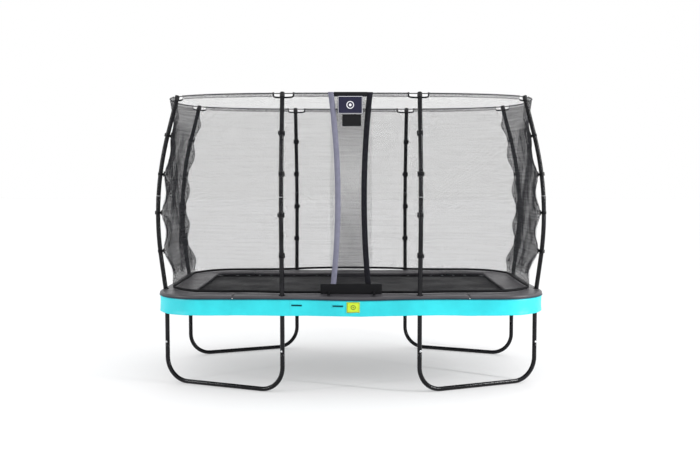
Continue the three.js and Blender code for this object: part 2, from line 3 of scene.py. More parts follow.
import bmesh
import bpy
import numpy as np
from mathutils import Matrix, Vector


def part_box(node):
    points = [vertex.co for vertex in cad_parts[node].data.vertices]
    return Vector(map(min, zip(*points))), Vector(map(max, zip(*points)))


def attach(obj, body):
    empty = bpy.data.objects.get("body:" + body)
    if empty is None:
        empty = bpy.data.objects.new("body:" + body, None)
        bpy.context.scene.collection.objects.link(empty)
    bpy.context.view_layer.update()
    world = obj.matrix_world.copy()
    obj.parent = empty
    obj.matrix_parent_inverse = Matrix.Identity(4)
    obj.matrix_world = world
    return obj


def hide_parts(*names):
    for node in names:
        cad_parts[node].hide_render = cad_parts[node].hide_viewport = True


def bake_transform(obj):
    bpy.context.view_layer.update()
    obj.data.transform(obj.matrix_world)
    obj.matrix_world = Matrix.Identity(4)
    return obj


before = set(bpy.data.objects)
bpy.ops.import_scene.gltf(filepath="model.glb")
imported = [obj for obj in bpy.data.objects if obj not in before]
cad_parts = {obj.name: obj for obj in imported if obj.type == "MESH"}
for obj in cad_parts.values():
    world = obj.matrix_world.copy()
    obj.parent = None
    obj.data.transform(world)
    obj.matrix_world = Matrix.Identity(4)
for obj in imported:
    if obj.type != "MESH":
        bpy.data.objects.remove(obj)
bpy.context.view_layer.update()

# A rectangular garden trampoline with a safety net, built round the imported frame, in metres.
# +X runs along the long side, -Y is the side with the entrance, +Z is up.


def middle(node):
    low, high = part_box(node)
    return (low + high) / 2


# ---------- measures shared with the CAD ----------

RAIL_X = middle("rail_right").x
RAIL_Y = middle("rail_back").y
RAIL_Z = middle("rail_back").z
CORNER_Y = middle("post_back_right_corner").y
SIDE_X = middle("post_back_right_side").x
RAIL_RADIUS = 0.4  # of the rail's corners, at its centre line
TUBE = 0.021  # radius of every tube of the frame

LEG_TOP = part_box("leg_front_left")[1].z - 0.08  # below the spigot
LEG_BEND = 0.22
POLE_FOOT, POLE_JOINT, POLE_TOP = 0.875, 1.8, 2.728
LEAN_FROM, LEAN_OUT, LEAN_IN = 0.81, 0.13, 0.265
BOW_START, BOW_END = 1.2, 2.4

RING_Z = middle("top_ring").z
RING_X, RING_Y, RING_POWER = 1.8, 0.934, 3.12
RING_ROD = 0.005

MAT_LOW, MAT_HIGH = (corner.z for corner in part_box("jump_mat"))
MAT_INSET = 0.221
SPRING_PITCH, SPRING_OUTER, SPRING_INNER = 0.13, 0.028, 0.212
SPRING_Z = 0.86

PAD_LOW, PAD_HIGH = 0.874, 0.906
PAD_OVERHANG = 0.045
PAD_INNER = (1.49, 0.8, 0.04)
PAD_JOINT, PAD_GAP = 1.08, 0.0015  # where the sections meet, and half the gap between them
PAD_END = (0, 0.002, 0.006, 0.014)  # the distances over which a section's end rounds off
SKIRT_LOW, SKIRT_HIGH = 0.7215, 0.8725
SKIRT_DROP = 0.151
HOLE_RADIUS, HOLE_SHIFT = 0.027, 0.0105

NET_LOW, NET_HIGH = 0.913, 2.7
NET_FOOT = NET_LOW + 0.002
NET_INSET, NET_HEM_INSET = 0.036, 0.075
STRAPS_Z = (1.27, 1.64, 2.01, 2.38)
STRAP_PITCH = STRAPS_Z[1] - STRAPS_Z[0]
# bottom, middle, top, skew at the bottom, skew at the top
CORNER_BULGE = (0.19, -0.077, 0.085, 1.8, 1.2)
END_BULGE = (0, -0.092, 0.145, 1, 1)
LONG_BULGE = (0, -0.026, 0.012, 1, 1)

LAYER_GAP = 0.022
WEB = 0.0012  # thickness of webbing

FRAME, MAT, INNER, OUTER = "frame", "mat", "door_inner", "door_outer"
QUARTERS = ("front_left", "front_right", "back_left", "back_right")


def smooth(low, high, value):
    t = np.clip((np.asarray(value, float) - low) / (high - low), 0, 1)
    return t * t * (3 - 2 * t)


def mix(a, b, t):
    return a + (b - a) * t


def unit(vectors):
    return vectors / np.linalg.norm(vectors, axis=-1, keepdims=True)


def run_along(path, closed=False):
    """How far along the path each of its points lies, with the first again if it is closed."""
    steps = np.linalg.norm(np.diff(path, axis=0), axis=1)
    run = np.concatenate([[0], np.cumsum(steps)])
    return np.append(run, run[-1] + np.linalg.norm(path[0] - path[-1])) if closed else run


# ---------- mesh building ----------


def uv_grid(across, along):
    return np.stack(np.meshgrid(across, along), -1)


def put(name, data):
    obj = bpy.data.objects.new(name, data)
    bpy.context.scene.collection.objects.link(obj)
    return obj


class Shape:
    """Gathers grids of points into one mesh with UVs in metres and material numbers."""

    def __init__(self):
        self.points, self.faces, self.uvs, self.marks, self.smooths = [], [], [], [], []
        self.count = 0

    def add_points(self, points):
        first = self.count
        self.points.append(np.asarray(points, float).reshape(-1, 3))
        self.count += len(self.points[-1])
        return first

    def add_face(self, corners, uvs, mark=0, smooth_face=True):
        self.faces.append(corners)
        self.uvs.append(uvs)
        self.marks.append(mark)
        self.smooths.append(smooth_face)

    def grid(self, points, uvs, wrap=False, wrap_rows=False, mark=0, flip=False):
        """Rows and columns of points. uvs has one more column (or row) where they wrap."""
        points, uvs = np.asarray(points, float), np.asarray(uvs, float)
        rows, columns = points.shape[:2]
        first = self.add_points(points)
        for r in range(rows if wrap_rows else rows - 1):
            for c in range(columns if wrap else columns - 1):
                cells = [(r, c), (r, c + 1), (r + 1, c + 1), (r + 1, c)]
                if flip:
                    cells.reverse()
                corners = [first + (i % rows) * columns + j % columns for i, j in cells]
                self.add_face(corners, [tuple(uvs[i, j]) for i, j in cells], mark)
        return first

    def cap(self, first, count, flip=False, mark=0):
        corners = list(range(first, first + count))
        if flip:
            corners.reverse()
        ring = [(math.cos(i * math.tau / count), math.sin(i * math.tau / count))
                for i in range(count)]
        self.add_face(corners, [(0.02 * u, 0.02 * v) for u, v in ring], mark, False)

    def solid(self, points, uvs, closed=False, mark=0):
        """Rings of points joined up, with a flat face at each end unless they close up."""
        first = self.grid(points, uvs, wrap=True, wrap_rows=closed, mark=mark)
        if not closed:
            rows, columns = points.shape[:2]
            self.cap(first, columns, flip=True, mark=mark)
            self.cap(first + (rows - 1) * columns, columns, mark=mark)

    def tube(self, path, radius, sides=12, closed=False, mark=0, bevel=0.0, squeeze=1.0):
        """A round tube along a path; radius may differ from station to station."""
        path = np.asarray(path, float)
        radii = np.broadcast_to(np.asarray(radius, float), len(path)).copy()
        if bevel and not closed:
            path, radii = bevelled(path, radii, bevel)
        frames = path_frames(path, closed)
        angles = np.arange(sides) * math.tau / sides
        ring = np.stack([np.cos(angles), np.sin(angles) * squeeze], 1)
        points = path[:, None] + radii[:, None, None] * np.einsum("sk,pkd->psd", ring, frames)
        run = run_along(path, closed)
        across = np.arange(sides + 1) / sides * math.tau * radii.max()
        uvs = uv_grid(across, run)
        self.solid(points, uvs, closed, mark)

    def ribbon(self, path, across, width, thick=WEB, closed=False, mark=0):
        """A flat strap along a path: `across` points along its width at each station."""
        path, across = np.asarray(path, float), np.asarray(across, float)
        across = unit(across)
        normal = unit(np.cross(path_tangents(path, closed), across))
        half, deep = width / 2, thick / 2
        section = [(-half, -deep), (half, -deep), (half, deep), (-half, deep)]
        points = np.stack([path + u * across + v * normal for u, v in section], 1)
        run = run_along(path, closed)
        spread = np.array([0, width, width + thick, 2 * width + thick, 2 * width + 2 * thick])
        uvs = uv_grid(spread, run)
        self.solid(points, uvs, closed, mark)

    def lathe(self, profile, sides, place, mark=0):
        """Turns [radius, height] pairs round +Z, then puts each point with `place`."""
        profile = np.asarray(profile, float)
        angles = np.arange(sides) * math.tau / sides
        radius, height = profile[:, 0, None], profile[:, 1, None]
        local = np.stack([radius * np.cos(angles), radius * np.sin(angles),
                          height + 0 * angles], -1)
        run = run_along(profile)
        around = np.arange(sides + 1) / sides * math.tau * radius.max()
        uvs = uv_grid(around, run)
        self.solid(place(local), uvs, mark=mark)

    def rounded_box(self, size, place, bevel, mark=0):
        """A box with its edges rounded off in two steps, put with `place`."""
        x, y, z = (s / 2 for s in size)
        rings = []
        for height, inset in ((-z, bevel), (-z + bevel * 0.3, bevel * 0.3), (-z + bevel, 0),
                              (z - bevel, 0), (z - bevel * 0.3, bevel * 0.3), (z, bevel)):
            rings.append(rounded_outline(x - inset, y - inset, max(bevel - inset, bevel * 0.4),
                                         height))
        points = np.array(rings)
        count = points.shape[1]
        around = np.arange(count + 1) / count * 4 * (x + y)
        uvs = uv_grid(around, points[:, 0, 2] + z)
        self.solid(place(points), uvs, mark=mark)

    def build(self, name, *materials):
        mesh = bpy.data.meshes.new(name)
        points = np.concatenate(self.points)
        mesh.from_pydata(points.tolist(), [], self.faces)
        layer = mesh.uv_layers.new(name="UVMap")
        layer.data.foreach_set("uv", np.array([c for face in self.uvs for c in face]).ravel())
        mesh.polygons.foreach_set("material_index", self.marks)
        mesh.polygons.foreach_set("use_smooth", self.smooths)
        for material in materials:
            mesh.materials.append(material)
        mesh.update()
        return put(name, mesh)


def rounded_outline(half_x, half_y, radius, z, steps=3):
    points = []
    for quarter, (sx, sy) in enumerate(((1, 1), (-1, 1), (-1, -1), (1, -1))):
        for i in range(steps + 1):
            angle = (quarter + i / steps) * math.pi / 2
            points.append((sx * (half_x - radius) + radius * math.cos(angle),
                           sy * (half_y - radius) + radius * math.sin(angle), z))
    return points


def path_tangents(path, closed=False):
    if closed:
        tangents = np.roll(path, -1, axis=0) - np.roll(path, 1, axis=0)
    else:
        tangents = np.gradient(path, axis=0)
    return unit(tangents)


def path_frames(path, closed=False):
    """Two directions across the path at each station, carried along without twist."""
    tangents = path_tangents(path, closed)
    start = np.array([0, 0, 1.0]) if abs(tangents[0, 2]) < 0.9 else np.array([1.0, 0, 0])
    side = np.cross(tangents[0], start)
    frames = []
    for tangent in tangents:
        side = side - tangent * (side @ tangent)
        side = unit(side)
        frames.append((side, np.cross(tangent, side)))
    return np.array(frames)


def bevelled(path, radii, bevel):
    """The path with its ends turned in by `bevel`, as a deburred tube's are."""
    first = path[0] + unit(path[1] - path[0]) * bevel
    last = path[-1] + unit(path[-2] - path[-1]) * bevel
    path = np.vstack([path[0], first, path[1:-1], last, path[-1]])
    radii = np.concatenate([[radii[0] - bevel, radii[0]], radii[1:-1],
                            [radii[-1], radii[-1] - bevel]])
    return path, radii


def line(a, b, steps=1):
    return [mix(np.asarray(a, float), np.asarray(b, float), i / steps) for i in range(steps + 1)]


# ---------- places ----------


def pole_bow(z):
    z = np.asarray(z, float)
    turn = (LEAN_OUT + LEAN_IN) / (BOW_END - BOW_START)
    low = LEAN_OUT * (np.minimum(z, BOW_START) - LEAN_FROM)
    climbed = np.clip(z, BOW_START, BOW_END) - BOW_START
    bowed = LEAN_OUT * climbed - turn * climbed**2 / 2
    return low + bowed - LEAN_IN * np.maximum(z - BOW_END, 0)


def pole_lean(z):
    """The pole's slope outwards at height z."""
    return float(pole_bow(z + 0.005) - pole_bow(z - 0.005)) / 0.01


def quarter_signs(quarter):
    """Which way a quarter of the trampoline lies from the middle, along X and Y."""
    return -1 if quarter.endswith("left") else 1, -1 if quarter.startswith("front") else 1


class Post:
    """A post's place, the direction `out` in which its pole bows, and the one `along`."""

    def __init__(self, quarter, kind):
        self.name = f"{quarter}_{kind}"
        x, y = quarter_signs(quarter)
        corner = kind == "corner"
        self.foot = np.array([x * RAIL_X, y * CORNER_Y] if corner else [x * SIDE_X, y * RAIL_Y])
        self.out = np.array([x, 0.0] if corner else [0.0, y])
        self.along = np.array([-self.out[1], self.out[0]])

    def at(self, out, along, z):
        out, along, z = np.broadcast_arrays(out, along, z)
        flat = self.foot + out[..., None] * self.out + along[..., None] * self.along
        return np.concatenate([flat, z[..., None]], -1)

    def pole(self, z):
        """The pole's axis at height z."""
        return self.at(float(pole_bow(z)), 0.0, z)

    def placed(self, origin_out, z, lean=0.0):
        """Puts a local shape (x out, y along, z up) at this post, leaning outwards."""
        c, s = math.cos(math.atan(lean)), math.sin(math.atan(lean))

        def place(local):
            x, y, up = local[..., 0], local[..., 1], local[..., 2]
            return self.at(origin_out + c * x + s * up, y, z - s * x + c * up)

        return place


POSTS = [Post(quarter, kind) for quarter in QUARTERS for kind in ("corner", "side")]
POST = {post.name: post for post in POSTS}
ROUND = ["front_right_side", "front_right_corner", "back_right_corner", "back_right_side",
         "back_left_side", "back_left_corner", "front_left_corner", "front_left_side"]


def ring_line(grow=0.0, count=720):
    """The top ring's line in plan, counter-clockwise from +X."""
    angle = np.arange(count) * math.tau / count
    c, s = np.cos(angle), np.sin(angle)
    power = 2 / RING_POWER
    x = np.sign(c) * (RING_X + grow) * np.abs(c) ** power
    y = np.sign(s) * (RING_Y + grow) * np.abs(s) ** power
    return np.stack([x, y], 1)


class RingRun:
    """The stretch of the top ring between two neighbouring poles, by its length."""

    def __init__(self, start, end):
        plan = ring_line()
        pole = float(pole_bow(RING_Z))
        a, b = (p.foot + pole * p.out for p in (start, end))
        first = int(np.argmin(np.linalg.norm(plan - a, axis=1)))
        last = int(np.argmin(np.linalg.norm(plan - b, axis=1)))
        steps = (last - first) % len(plan)
        self.points = plan[(first + np.arange(steps + 1)) % len(plan)]
        self.run = run_along(self.points)
        self.length = self.run[-1]

    def at(self, distance):
        x = np.interp(distance, self.run, self.points[:, 0])
        y = np.interp(distance, self.run, self.points[:, 1])
        return np.stack([x, y], -1)


def outline(offset, corner_steps=16, side_step=0.03, inner=None):
    """The rail's outline moved out by `offset`, or the padding's inner edge: points in plan,
    counter-clockwise, and the same number of them for every offset."""
    half_x, half_y, radius = inner or (RAIL_X + offset, RAIL_Y + offset, RAIL_RADIUS + offset)
    long_steps = round(2 * (RAIL_X - RAIL_RADIUS) / side_step)
    end_steps = round(2 * (RAIL_Y - RAIL_RADIUS) / side_step)
    x, y = half_x - radius, half_y - radius
    points = []
    corners = [(x, -y, -90, end_steps), (x, y, 0, long_steps), (-x, y, 90, end_steps),
               (-x, -y, 180, long_steps)]
    for i, (cx, cy, degrees, steps) in enumerate(corners):
        for k in range(corner_steps):
            angle = math.radians(degrees + 90 * k / corner_steps)
            points.append((cx + radius * math.cos(angle), cy + radius * math.sin(angle)))
        nx, ny = corners[(i + 1) % 4][:2]
        angle = math.radians(degrees + 90)
        a = np.array([cx, cy]) + radius * np.array([math.cos(angle), math.sin(angle)])
        b = np.array([nx, ny]) + radius * np.array([math.cos(angle), math.sin(angle)])
        points.extend(tuple(mix(a, b, k / steps)) for k in range(steps))
    return np.array(points)


def waves(x, seed, count=5, longest=1.2, shortest=0.12):
    """A sum of gentle waves of random lengths and phases along x, between -1 and 1."""
    rng = np.random.default_rng(seed)
    total, weight = 0, 0
    for i in range(count):
        length = longest * (shortest / longest) ** (i / max(count - 1, 1))
        amount = (length / longest) ** 0.6
        total = total + amount * np.sin(np.asarray(x) * math.tau / length + rng.uniform(0, 6.28))
        weight += amount
    return total / weight


# ---------- materials ----------


class Finish:
    """A material with one Principled shader, whose nodes are added one by one."""

    def __init__(self, name, metallic=0.0, **sockets):
        self.material = bpy.data.materials.new(name)
        self.material.use_nodes = True
        self.tree = self.material.node_tree
        self.shader = self.tree.nodes["Principled BSDF"]
        self.shader.inputs["Metallic"].default_value = metallic
        for socket, value in sockets.items():
            self.shader.inputs[socket.replace("_", " ")].default_value = value
        self.coords = self.tree.nodes.new("ShaderNodeTexCoord")
        self.heights = []

    def link(self, a, b):
        self.tree.links.new(a, b)

    def node(self, kind, inputs=(), **settings):
        node = self.tree.nodes.new("ShaderNode" + kind)
        for key, value in settings.items():
            setattr(node, key, value)
        for socket, value in dict(inputs).items():
            if isinstance(value, bpy.types.NodeSocket):
                self.link(value, node.inputs[socket])
            else:
                node.inputs[socket].default_value = value
        return node

    def math(self, operation, a, b=None):
        values = {0: a} if b is None else {0: a, 1: b}
        return self.node("Math", values, operation=operation).outputs[0]

    def times(self, a, b):
        return self.math("MULTIPLY", a, b)

    def noise(self, scale, detail=3.0, where="Object", stretch=(1, 1, 1)):
        place = self.node("Mapping", {0: self.coords.outputs[where], 3: stretch}).outputs[0]
        return self.node("TexNoise", {"Vector": place, "Scale": scale, "Detail": detail}).outputs[0]

    def cells(self, scale):
        inputs = {"Vector": self.coords.outputs["Object"], "Scale": scale}
        return self.node("TexVoronoi", inputs).outputs[0]

    def ranged(self, value, low, high, to_low=0.0, to_high=1.0):
        inputs = {0: value, 1: low, 2: high, 3: to_low, 4: to_high}
        return self.node("MapRange", inputs, interpolation_type="SMOOTHSTEP").outputs[0]

    def mixed(self, factor, dark, light):
        inputs = {0: factor}
        for socket, value in ((6, dark), (7, light)):
            inputs[socket] = (*value, 1) if isinstance(value, tuple) else value
        return self.node("Mix", inputs, data_type="RGBA").outputs[2]

    def colour(self, value):
        self.link(value, self.shader.inputs["Base Color"])

    def roughness(self, value, low, high):
        self.link(self.ranged(value, 0.3, 0.7, low, high), self.shader.inputs["Roughness"])

    def bump(self, height, depth):
        """Adds to the relief; depth is in metres."""
        inputs = {"Height": height, "Distance": depth, "Strength": 1.0}
        node = self.node("Bump", inputs)
        if self.heights:
            self.link(self.heights[-1].outputs[0], node.inputs["Normal"])
        self.heights.append(node)
        self.link(node.outputs[0], self.shader.inputs["Normal"])

    def uv(self):
        parts = self.node("SeparateXYZ", {0: self.coords.outputs["UV"]})
        return parts.outputs[0], parts.outputs[1]

    def stripes(self, along, pitch, share=0.5, soft=0.15):
        """1 on stripes across `along`, every `pitch` metres, 0 between them."""
        saw = self.math("FRACT", self.math("DIVIDE", along, pitch))
        away = self.math("ABSOLUTE", self.math("SUBTRACT", saw, 0.5))
        return self.ranged(away, share / 2 - soft / 2, share / 2 + soft / 2, 1.0, 0.0)

    def woven(self, across, along, pitch):
        """The crossings of warp and weft threads, as far apart as `pitch`."""
        warp, weft = (self.stripes(way, pitch, 0.6, 0.5) for way in (across, along))
        return self.times(warp, weft)


def powder_coat():
    finish = Finish("powder_coat", Specular_IOR_Level=0.2)
    wander = finish.noise(9, 4)
    dust = finish.noise(60, 6)
    tone = finish.ranged(wander, 0.35, 0.7)
    base = finish.mixed(tone, (0.003, 0.003, 0.004), (0.008, 0.008, 0.01))
    finish.colour(finish.mixed(finish.ranged(dust, 0.62, 0.8), base, (0.03, 0.03, 0.032)))
    finish.roughness(wander, 0.11, 0.17)
    finish.bump(finish.noise(420, 2), 0.00012)
    return finish.material


def moulded_plastic():
    finish = Finish("moulded_plastic", Specular_IOR_Level=0.3)
    wander = finish.noise(40, 4)
    finish.colour(finish.mixed(wander, (0.004, 0.004, 0.005), (0.012, 0.012, 0.013)))
    finish.roughness(wander, 0.38, 0.55)
    finish.bump(finish.cells(1500), 0.00008)
    return finish.material


def ring_fibre():
    finish = Finish("ring_fibre")
    strands = finish.noise(300, 3, "UV", (1, 0.04, 1))
    finish.colour(finish.mixed(strands, (0.012, 0.012, 0.013), (0.05, 0.05, 0.052)))
    finish.roughness(strands, 0.35, 0.55)
    finish.bump(strands, 0.0001)
    return finish.material


def galvanised(name="galvanised", scale=90, painted_shade_factor=1.0):
    finish = Finish(name, metallic=1.0)
    spangle = finish.cells(scale)
    wear = finish.noise(25, 5)
    # The last argument darkens the whole finish: painted shade, for steel that lies in shade.
    dull = tuple(painted_shade_factor * c for c in (0.50, 0.51, 0.53))
    bright = tuple(painted_shade_factor * c for c in (0.74, 0.75, 0.76))
    base = finish.mixed(spangle, dull, bright)
    finish.colour(finish.mixed(finish.ranged(wear, 0.6, 0.85), base, (0.30, 0.27, 0.24)))
    finish.roughness(wear, 0.22, 0.45)
    finish.bump(finish.noise(600, 3), 0.00006)
    return finish.material


def mat_weave():
    finish = Finish("mat_weave", Specular_IOR_Level=0.1)
    parts = finish.node("SeparateXYZ", {0: finish.coords.outputs["Object"]})
    weave = finish.woven(parts.outputs[0], parts.outputs[1], 0.0032)
    wander = finish.noise(2.2, 5)
    yarn = finish.mixed(weave, (0.003, 0.003, 0.004), (0.012, 0.012, 0.014))
    worn = finish.ranged(wander, 0.45, 0.75, 0.0, 0.3)
    finish.colour(finish.mixed(worn, yarn, (0.02, 0.02, 0.022)))
    finish.roughness(wander, 0.5, 0.75)
    finish.bump(weave, 0.0006)
    return finish.material


def webbing(name, dark, light, pitch=0.0022):
    """Narrow woven tape: cross ribs with a twill over them."""
    finish = Finish(name, Specular_IOR_Level=0.15)
    across, along = finish.uv()
    ribs = finish.stripes(along, pitch, 0.6, 0.5)
    twill = finish.stripes(finish.math("ADD", across, along), pitch * 2, 0.5, 0.4)
    weave = finish.times(ribs, finish.ranged(twill, 0, 1, 0.6, 1.0))
    wander = finish.noise(30, 4)
    finish.colour(finish.mixed(finish.times(weave, wander), dark, light))
    finish.roughness(wander, 0.6, 0.85)
    finish.bump(weave, 0.0005)
    return finish.material


def vinyl(name, dark, light, grain=0.00022, rough=(0.38, 0.52)):
    """Coated fabric: fine leathery grain over soft, large variations of tone."""
    finish = Finish(name, Specular_IOR_Level=0.45)
    wander = finish.noise(3.5, 5)
    scuffs = finish.noise(38, 8, "Object", (1, 3, 3))
    base = finish.mixed(finish.ranged(wander, 0.3, 0.7), dark, light)
    faded = tuple(min(c * 1.5 + 0.02, 1.0) for c in light)
    finish.colour(finish.mixed(finish.ranged(scuffs, 0.62, 0.85, 0.0, 0.35), base, faded))
    finish.roughness(wander, *rough)
    finish.bump(finish.noise(26, 4), 0.0012)
    finish.bump(finish.cells(620), grain)
    return finish.material


def net_mesh(name="net_mesh", pitch=0.0072, share=0.115, dark=(0.006, 0.006, 0.007)):
    """Knitted safety net: a lattice of thin threads with open diamonds between them."""
    finish = Finish(name, Roughness=0.8, Specular_IOR_Level=0.1)
    across, along = finish.uv()
    rising = finish.stripes(finish.math("ADD", across, along), pitch, share, 0.05)
    falling = finish.stripes(finish.math("SUBTRACT", across, along), pitch, share, 0.05)
    threads = finish.math("MAXIMUM", rising, falling)
    knots = finish.times(rising, falling)
    wander = finish.noise(14, 4)
    base = finish.mixed(wander, dark, tuple(3 * c for c in dark))
    finish.colour(finish.mixed(knots, base, tuple(5 * c for c in dark)))
    rows = finish.ranged(finish.noise(46, 2, "UV", (0.03, 1, 1)), 0.35, 0.65, 0.88, 1.0)
    finish.link(finish.times(threads, rows), finish.shader.inputs["Alpha"])
    finish.bump(threads, 0.0004)
    return finish.material


def plain_cloth(name, dark, light):
    finish = Finish(name, Specular_IOR_Level=0.15)
    across, along = finish.uv()
    weave = finish.woven(across, along, 0.0016)
    wander = finish.noise(12, 6)
    finish.colour(finish.mixed(finish.times(weave, wander), dark, light))
    finish.roughness(wander, 0.65, 0.85)
    finish.bump(weave, 0.0003)
    finish.bump(finish.noise(30, 3), 0.0015)
    return finish.material


def patch_finish(name, ground, ink, centre, width, height, rings):
    """A sewn patch with a border line and plain rings round its centre, by its UVs."""
    finish = Finish(name, Roughness=0.6, Specular_IOR_Level=0.15)
    u, v = finish.uv()
    u = finish.math("SUBTRACT", u, centre[0])
    v = finish.math("SUBTRACT", v, centre[1])
    across, up = finish.math("ABSOLUTE", u), finish.math("ABSOLUTE", v)
    from_edge = finish.math("MINIMUM", finish.math("SUBTRACT", width / 2, across),
                            finish.math("SUBTRACT", height / 2, up))
    inked = finish.ranged(finish.math("ABSOLUTE", finish.math("SUBTRACT", from_edge, 0.006)),
                          0.0012, 0.002, 1.0, 0.0)
    for inner, outer in rings:
        away = finish.math("SQRT", finish.math("ADD", finish.times(u, u), finish.times(v, v)))
        band = finish.times(finish.ranged(away, inner - 0.001, inner, 0.0, 1.0),
                            finish.ranged(away, outer, outer + 0.001, 1.0, 0.0))
        inked = finish.math("MAXIMUM", inked, band)
    stitches = finish.stripes(finish.math("ADD", u, v), 0.0018, 0.6, 0.5)
    wander = finish.noise(25, 4)
    base = finish.mixed(finish.times(wander, stitches), ground,
                        tuple(min(1.5 * c + 0.01, 1) for c in ground))
    finish.colour(finish.mixed(inked, base, ink))
    finish.bump(finish.math("MAXIMUM", finish.times(stitches, 0.4), inked), 0.0006)
    return finish.material


def floor_paint():
    finish = Finish("floor_paint", Specular_IOR_Level=0.1)
    speckle = finish.noise(40, 5)
    finish.colour(finish.mixed(speckle, (0.50, 0.50, 0.505), (0.52, 0.52, 0.525)))
    # The floor glows a little (emission 0.33): painted light that lifts the shadow under the
    # trampoline.
    finish.shader.inputs["Emission Color"].default_value = (1, 1, 1, 1)
    finish.shader.inputs["Emission Strength"].default_value = 0.33
    finish.roughness(speckle, 0.8, 0.95)
    return finish.material


COAT = powder_coat()
PLASTIC = moulded_plastic()
FIBRE = ring_fibre()
# The springs and the mat's wire rings get galvanised steel darkened to 0.45: painted shade for the
# shade they lie in under the padding.
SHADED_SPRING_STEEL = galvanised(painted_shade_factor=0.45)
ZINC = galvanised("zinc_plate", 400)
WEAVE = mat_weave()
BLACK_WEB = webbing("black_webbing", (0.002, 0.002, 0.003), (0.016, 0.016, 0.018))
LIGHT_WEB = webbing("light_webbing", (0.11, 0.11, 0.155), (0.37, 0.37, 0.47))
DARK_WEB = webbing("dark_webbing", (0.005, 0.005, 0.009), (0.02, 0.018, 0.03))
PIPING = vinyl("piping_vinyl", (0.0, 0.025, 0.05), (0.0, 0.05, 0.08))
PAD_VINYL = vinyl("pad_vinyl", (0.034, 0.032, 0.037), (0.05, 0.047, 0.053))
PAD_BACKING = plain_cloth("pad_backing", (0.02, 0.02, 0.022), (0.06, 0.06, 0.064))
SKIRT_VINYL = vinyl("skirt_vinyl", (0.010, 0.49, 0.55), (0.016, 0.595, 0.655), 0.00015, (0.35, 0.5))
NET = net_mesh(share=0.125)
END_NET = net_mesh("end_mesh", share=0.5)
DOUBLED_NET = net_mesh("doubled_mesh", share=0.215)
SLEEVE_NET = net_mesh("sleeve_mesh", share=0.2, dark=(0.012, 0.012, 0.014))
SILL_CLOTH = plain_cloth("sill_cloth", (0.004, 0.004, 0.005), (0.02, 0.02, 0.022))
SLOT_DARK = plain_cloth("slot_dark", (0.0, 0.03, 0.04), (0.002, 0.07, 0.085))
LABEL_MIDDLE = (0.02 - (RAIL_X - RAIL_RADIUS), -0.425 * SKIRT_DROP)
LABEL = patch_finish("label_fabric", (0.42, 0.55, 0.03), (0.03, 0.05, 0.03), LABEL_MIDDLE,
                     0.12, 0.104, [(0.017, 0.022), (0.0, 0.006)])
BADGE = patch_finish("badge_fabric", (0.012, 0.012, 0.03), (0.75, 0.75, 0.78), (-0.007, 2.639),
                     0.232, 0.166, [(0.028, 0.034), (0.0, 0.012)])


def finished(shape, name, body, slot, *materials, stands_for=()):
    """Builds the piece, puts it on the body it rides on and hides the nodes it stands for. The slot
    is not used.
    """
    obj = shape.build(name, *materials)
    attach(obj, body)
    if stands_for:
        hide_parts(*stands_for)
    return obj


# ---------- steel frame ----------

ROUND_SIDES, RAIL_SIDES = 28, 24
DEBURRED = 0.0012  # how far a tube's ends are turned in
RAIL_GAP = 0.002  # between two rails inside a post's sleeve


def steel_tube(name, path, radius, sides, node, bevel=0.0):
    shape = Shape()
    shape.tube(path, radius, sides, bevel=bevel)
    finished(shape, name, FRAME, "steel", COAT, stands_for=[node])


def leg_path(half):
    """The U of a leg in its own plane: along it and up."""
    low = TUBE
    path = [(-half, LEG_TOP)]
    path += [(-half, z) for z in np.linspace(LEG_TOP, low + LEG_BEND, 4)[1:-1]]
    for k in range(13):
        angle = k / 12 * math.pi / 2
        path.append((-half + LEG_BEND * (1 - math.cos(angle)),
                     low + LEG_BEND * (1 - math.sin(angle))))
    path += [(x, low) for x in np.linspace(-half + LEG_BEND, 0, 5)[1:]]
    return path + [(-x, z) for x, z in reversed(path[:-1])]


def bolt(shape, centre, outward):
    """A domed bolt head on a washer, looking along `outward`."""
    outward = unit(np.asarray(outward, float))
    side = np.array([-outward[1], outward[0], 0])
    up = np.cross(outward, side)

    def place(local):
        return (centre + local[..., 0, None] * side + local[..., 1, None] * up
                + local[..., 2, None] * outward)

    shape.lathe([(0.0105, -0.003), (0.0105, 0.0008), (0.0098, 0.0016), (0.0072, 0.0017),
                 (0.0070, 0.0045), (0.0052, 0.0066), (0.0025, 0.0074)], 18, place)


def make_legs():
    bolts = Shape()
    for quarter in QUARTERS:
        a, b = POST[f"{quarter}_corner"], POST[f"{quarter}_side"]
        centre = (a.foot + b.foot) / 2
        along = unit(b.foot - a.foot)
        half = float(np.linalg.norm(b.foot - a.foot)) / 2
        path = [(*(centre + x * along), z) for x, z in leg_path(half)]
        steel_tube(f"leg_tube_{quarter}", path, TUBE, ROUND_SIDES, f"leg_{quarter}", DEBURRED)
        outward = np.array([along[1], -along[0]])
        outward *= np.sign(outward @ centre)
        for post in (a, b):
            spot = np.array([*(post.foot + TUBE * outward), LEG_TOP + 0.022])
            bolt(bolts, spot, [*outward, 0])
    finished(bolts, "leg_bolts", FRAME, "bolt_steel", ZINC)


def weld(shape, centre, axis, radius):
    """A rippled weld bead round a tube."""
    axis = unit(np.asarray(axis, float))
    side = unit(np.cross(axis, [0, 1, 0] if abs(axis[1]) < 0.8 else [1, 0, 0]))
    other = np.cross(axis, side)
    turns = np.arange(48) * math.tau / 48
    path = [centre + radius * (math.cos(t) * side + math.sin(t) * other) for t in turns]
    shape.tube(path, 0.0028 + 0.0005 * np.cos(turns * 24), 6, closed=True)


SLEEVE_HALF, SLEEVE_RADIUS = 0.055, 0.025  # of the T that takes the rails
STUB_REACH, STUB_RADIUS = 0.06, 0.017  # of the part inside the pole's foot


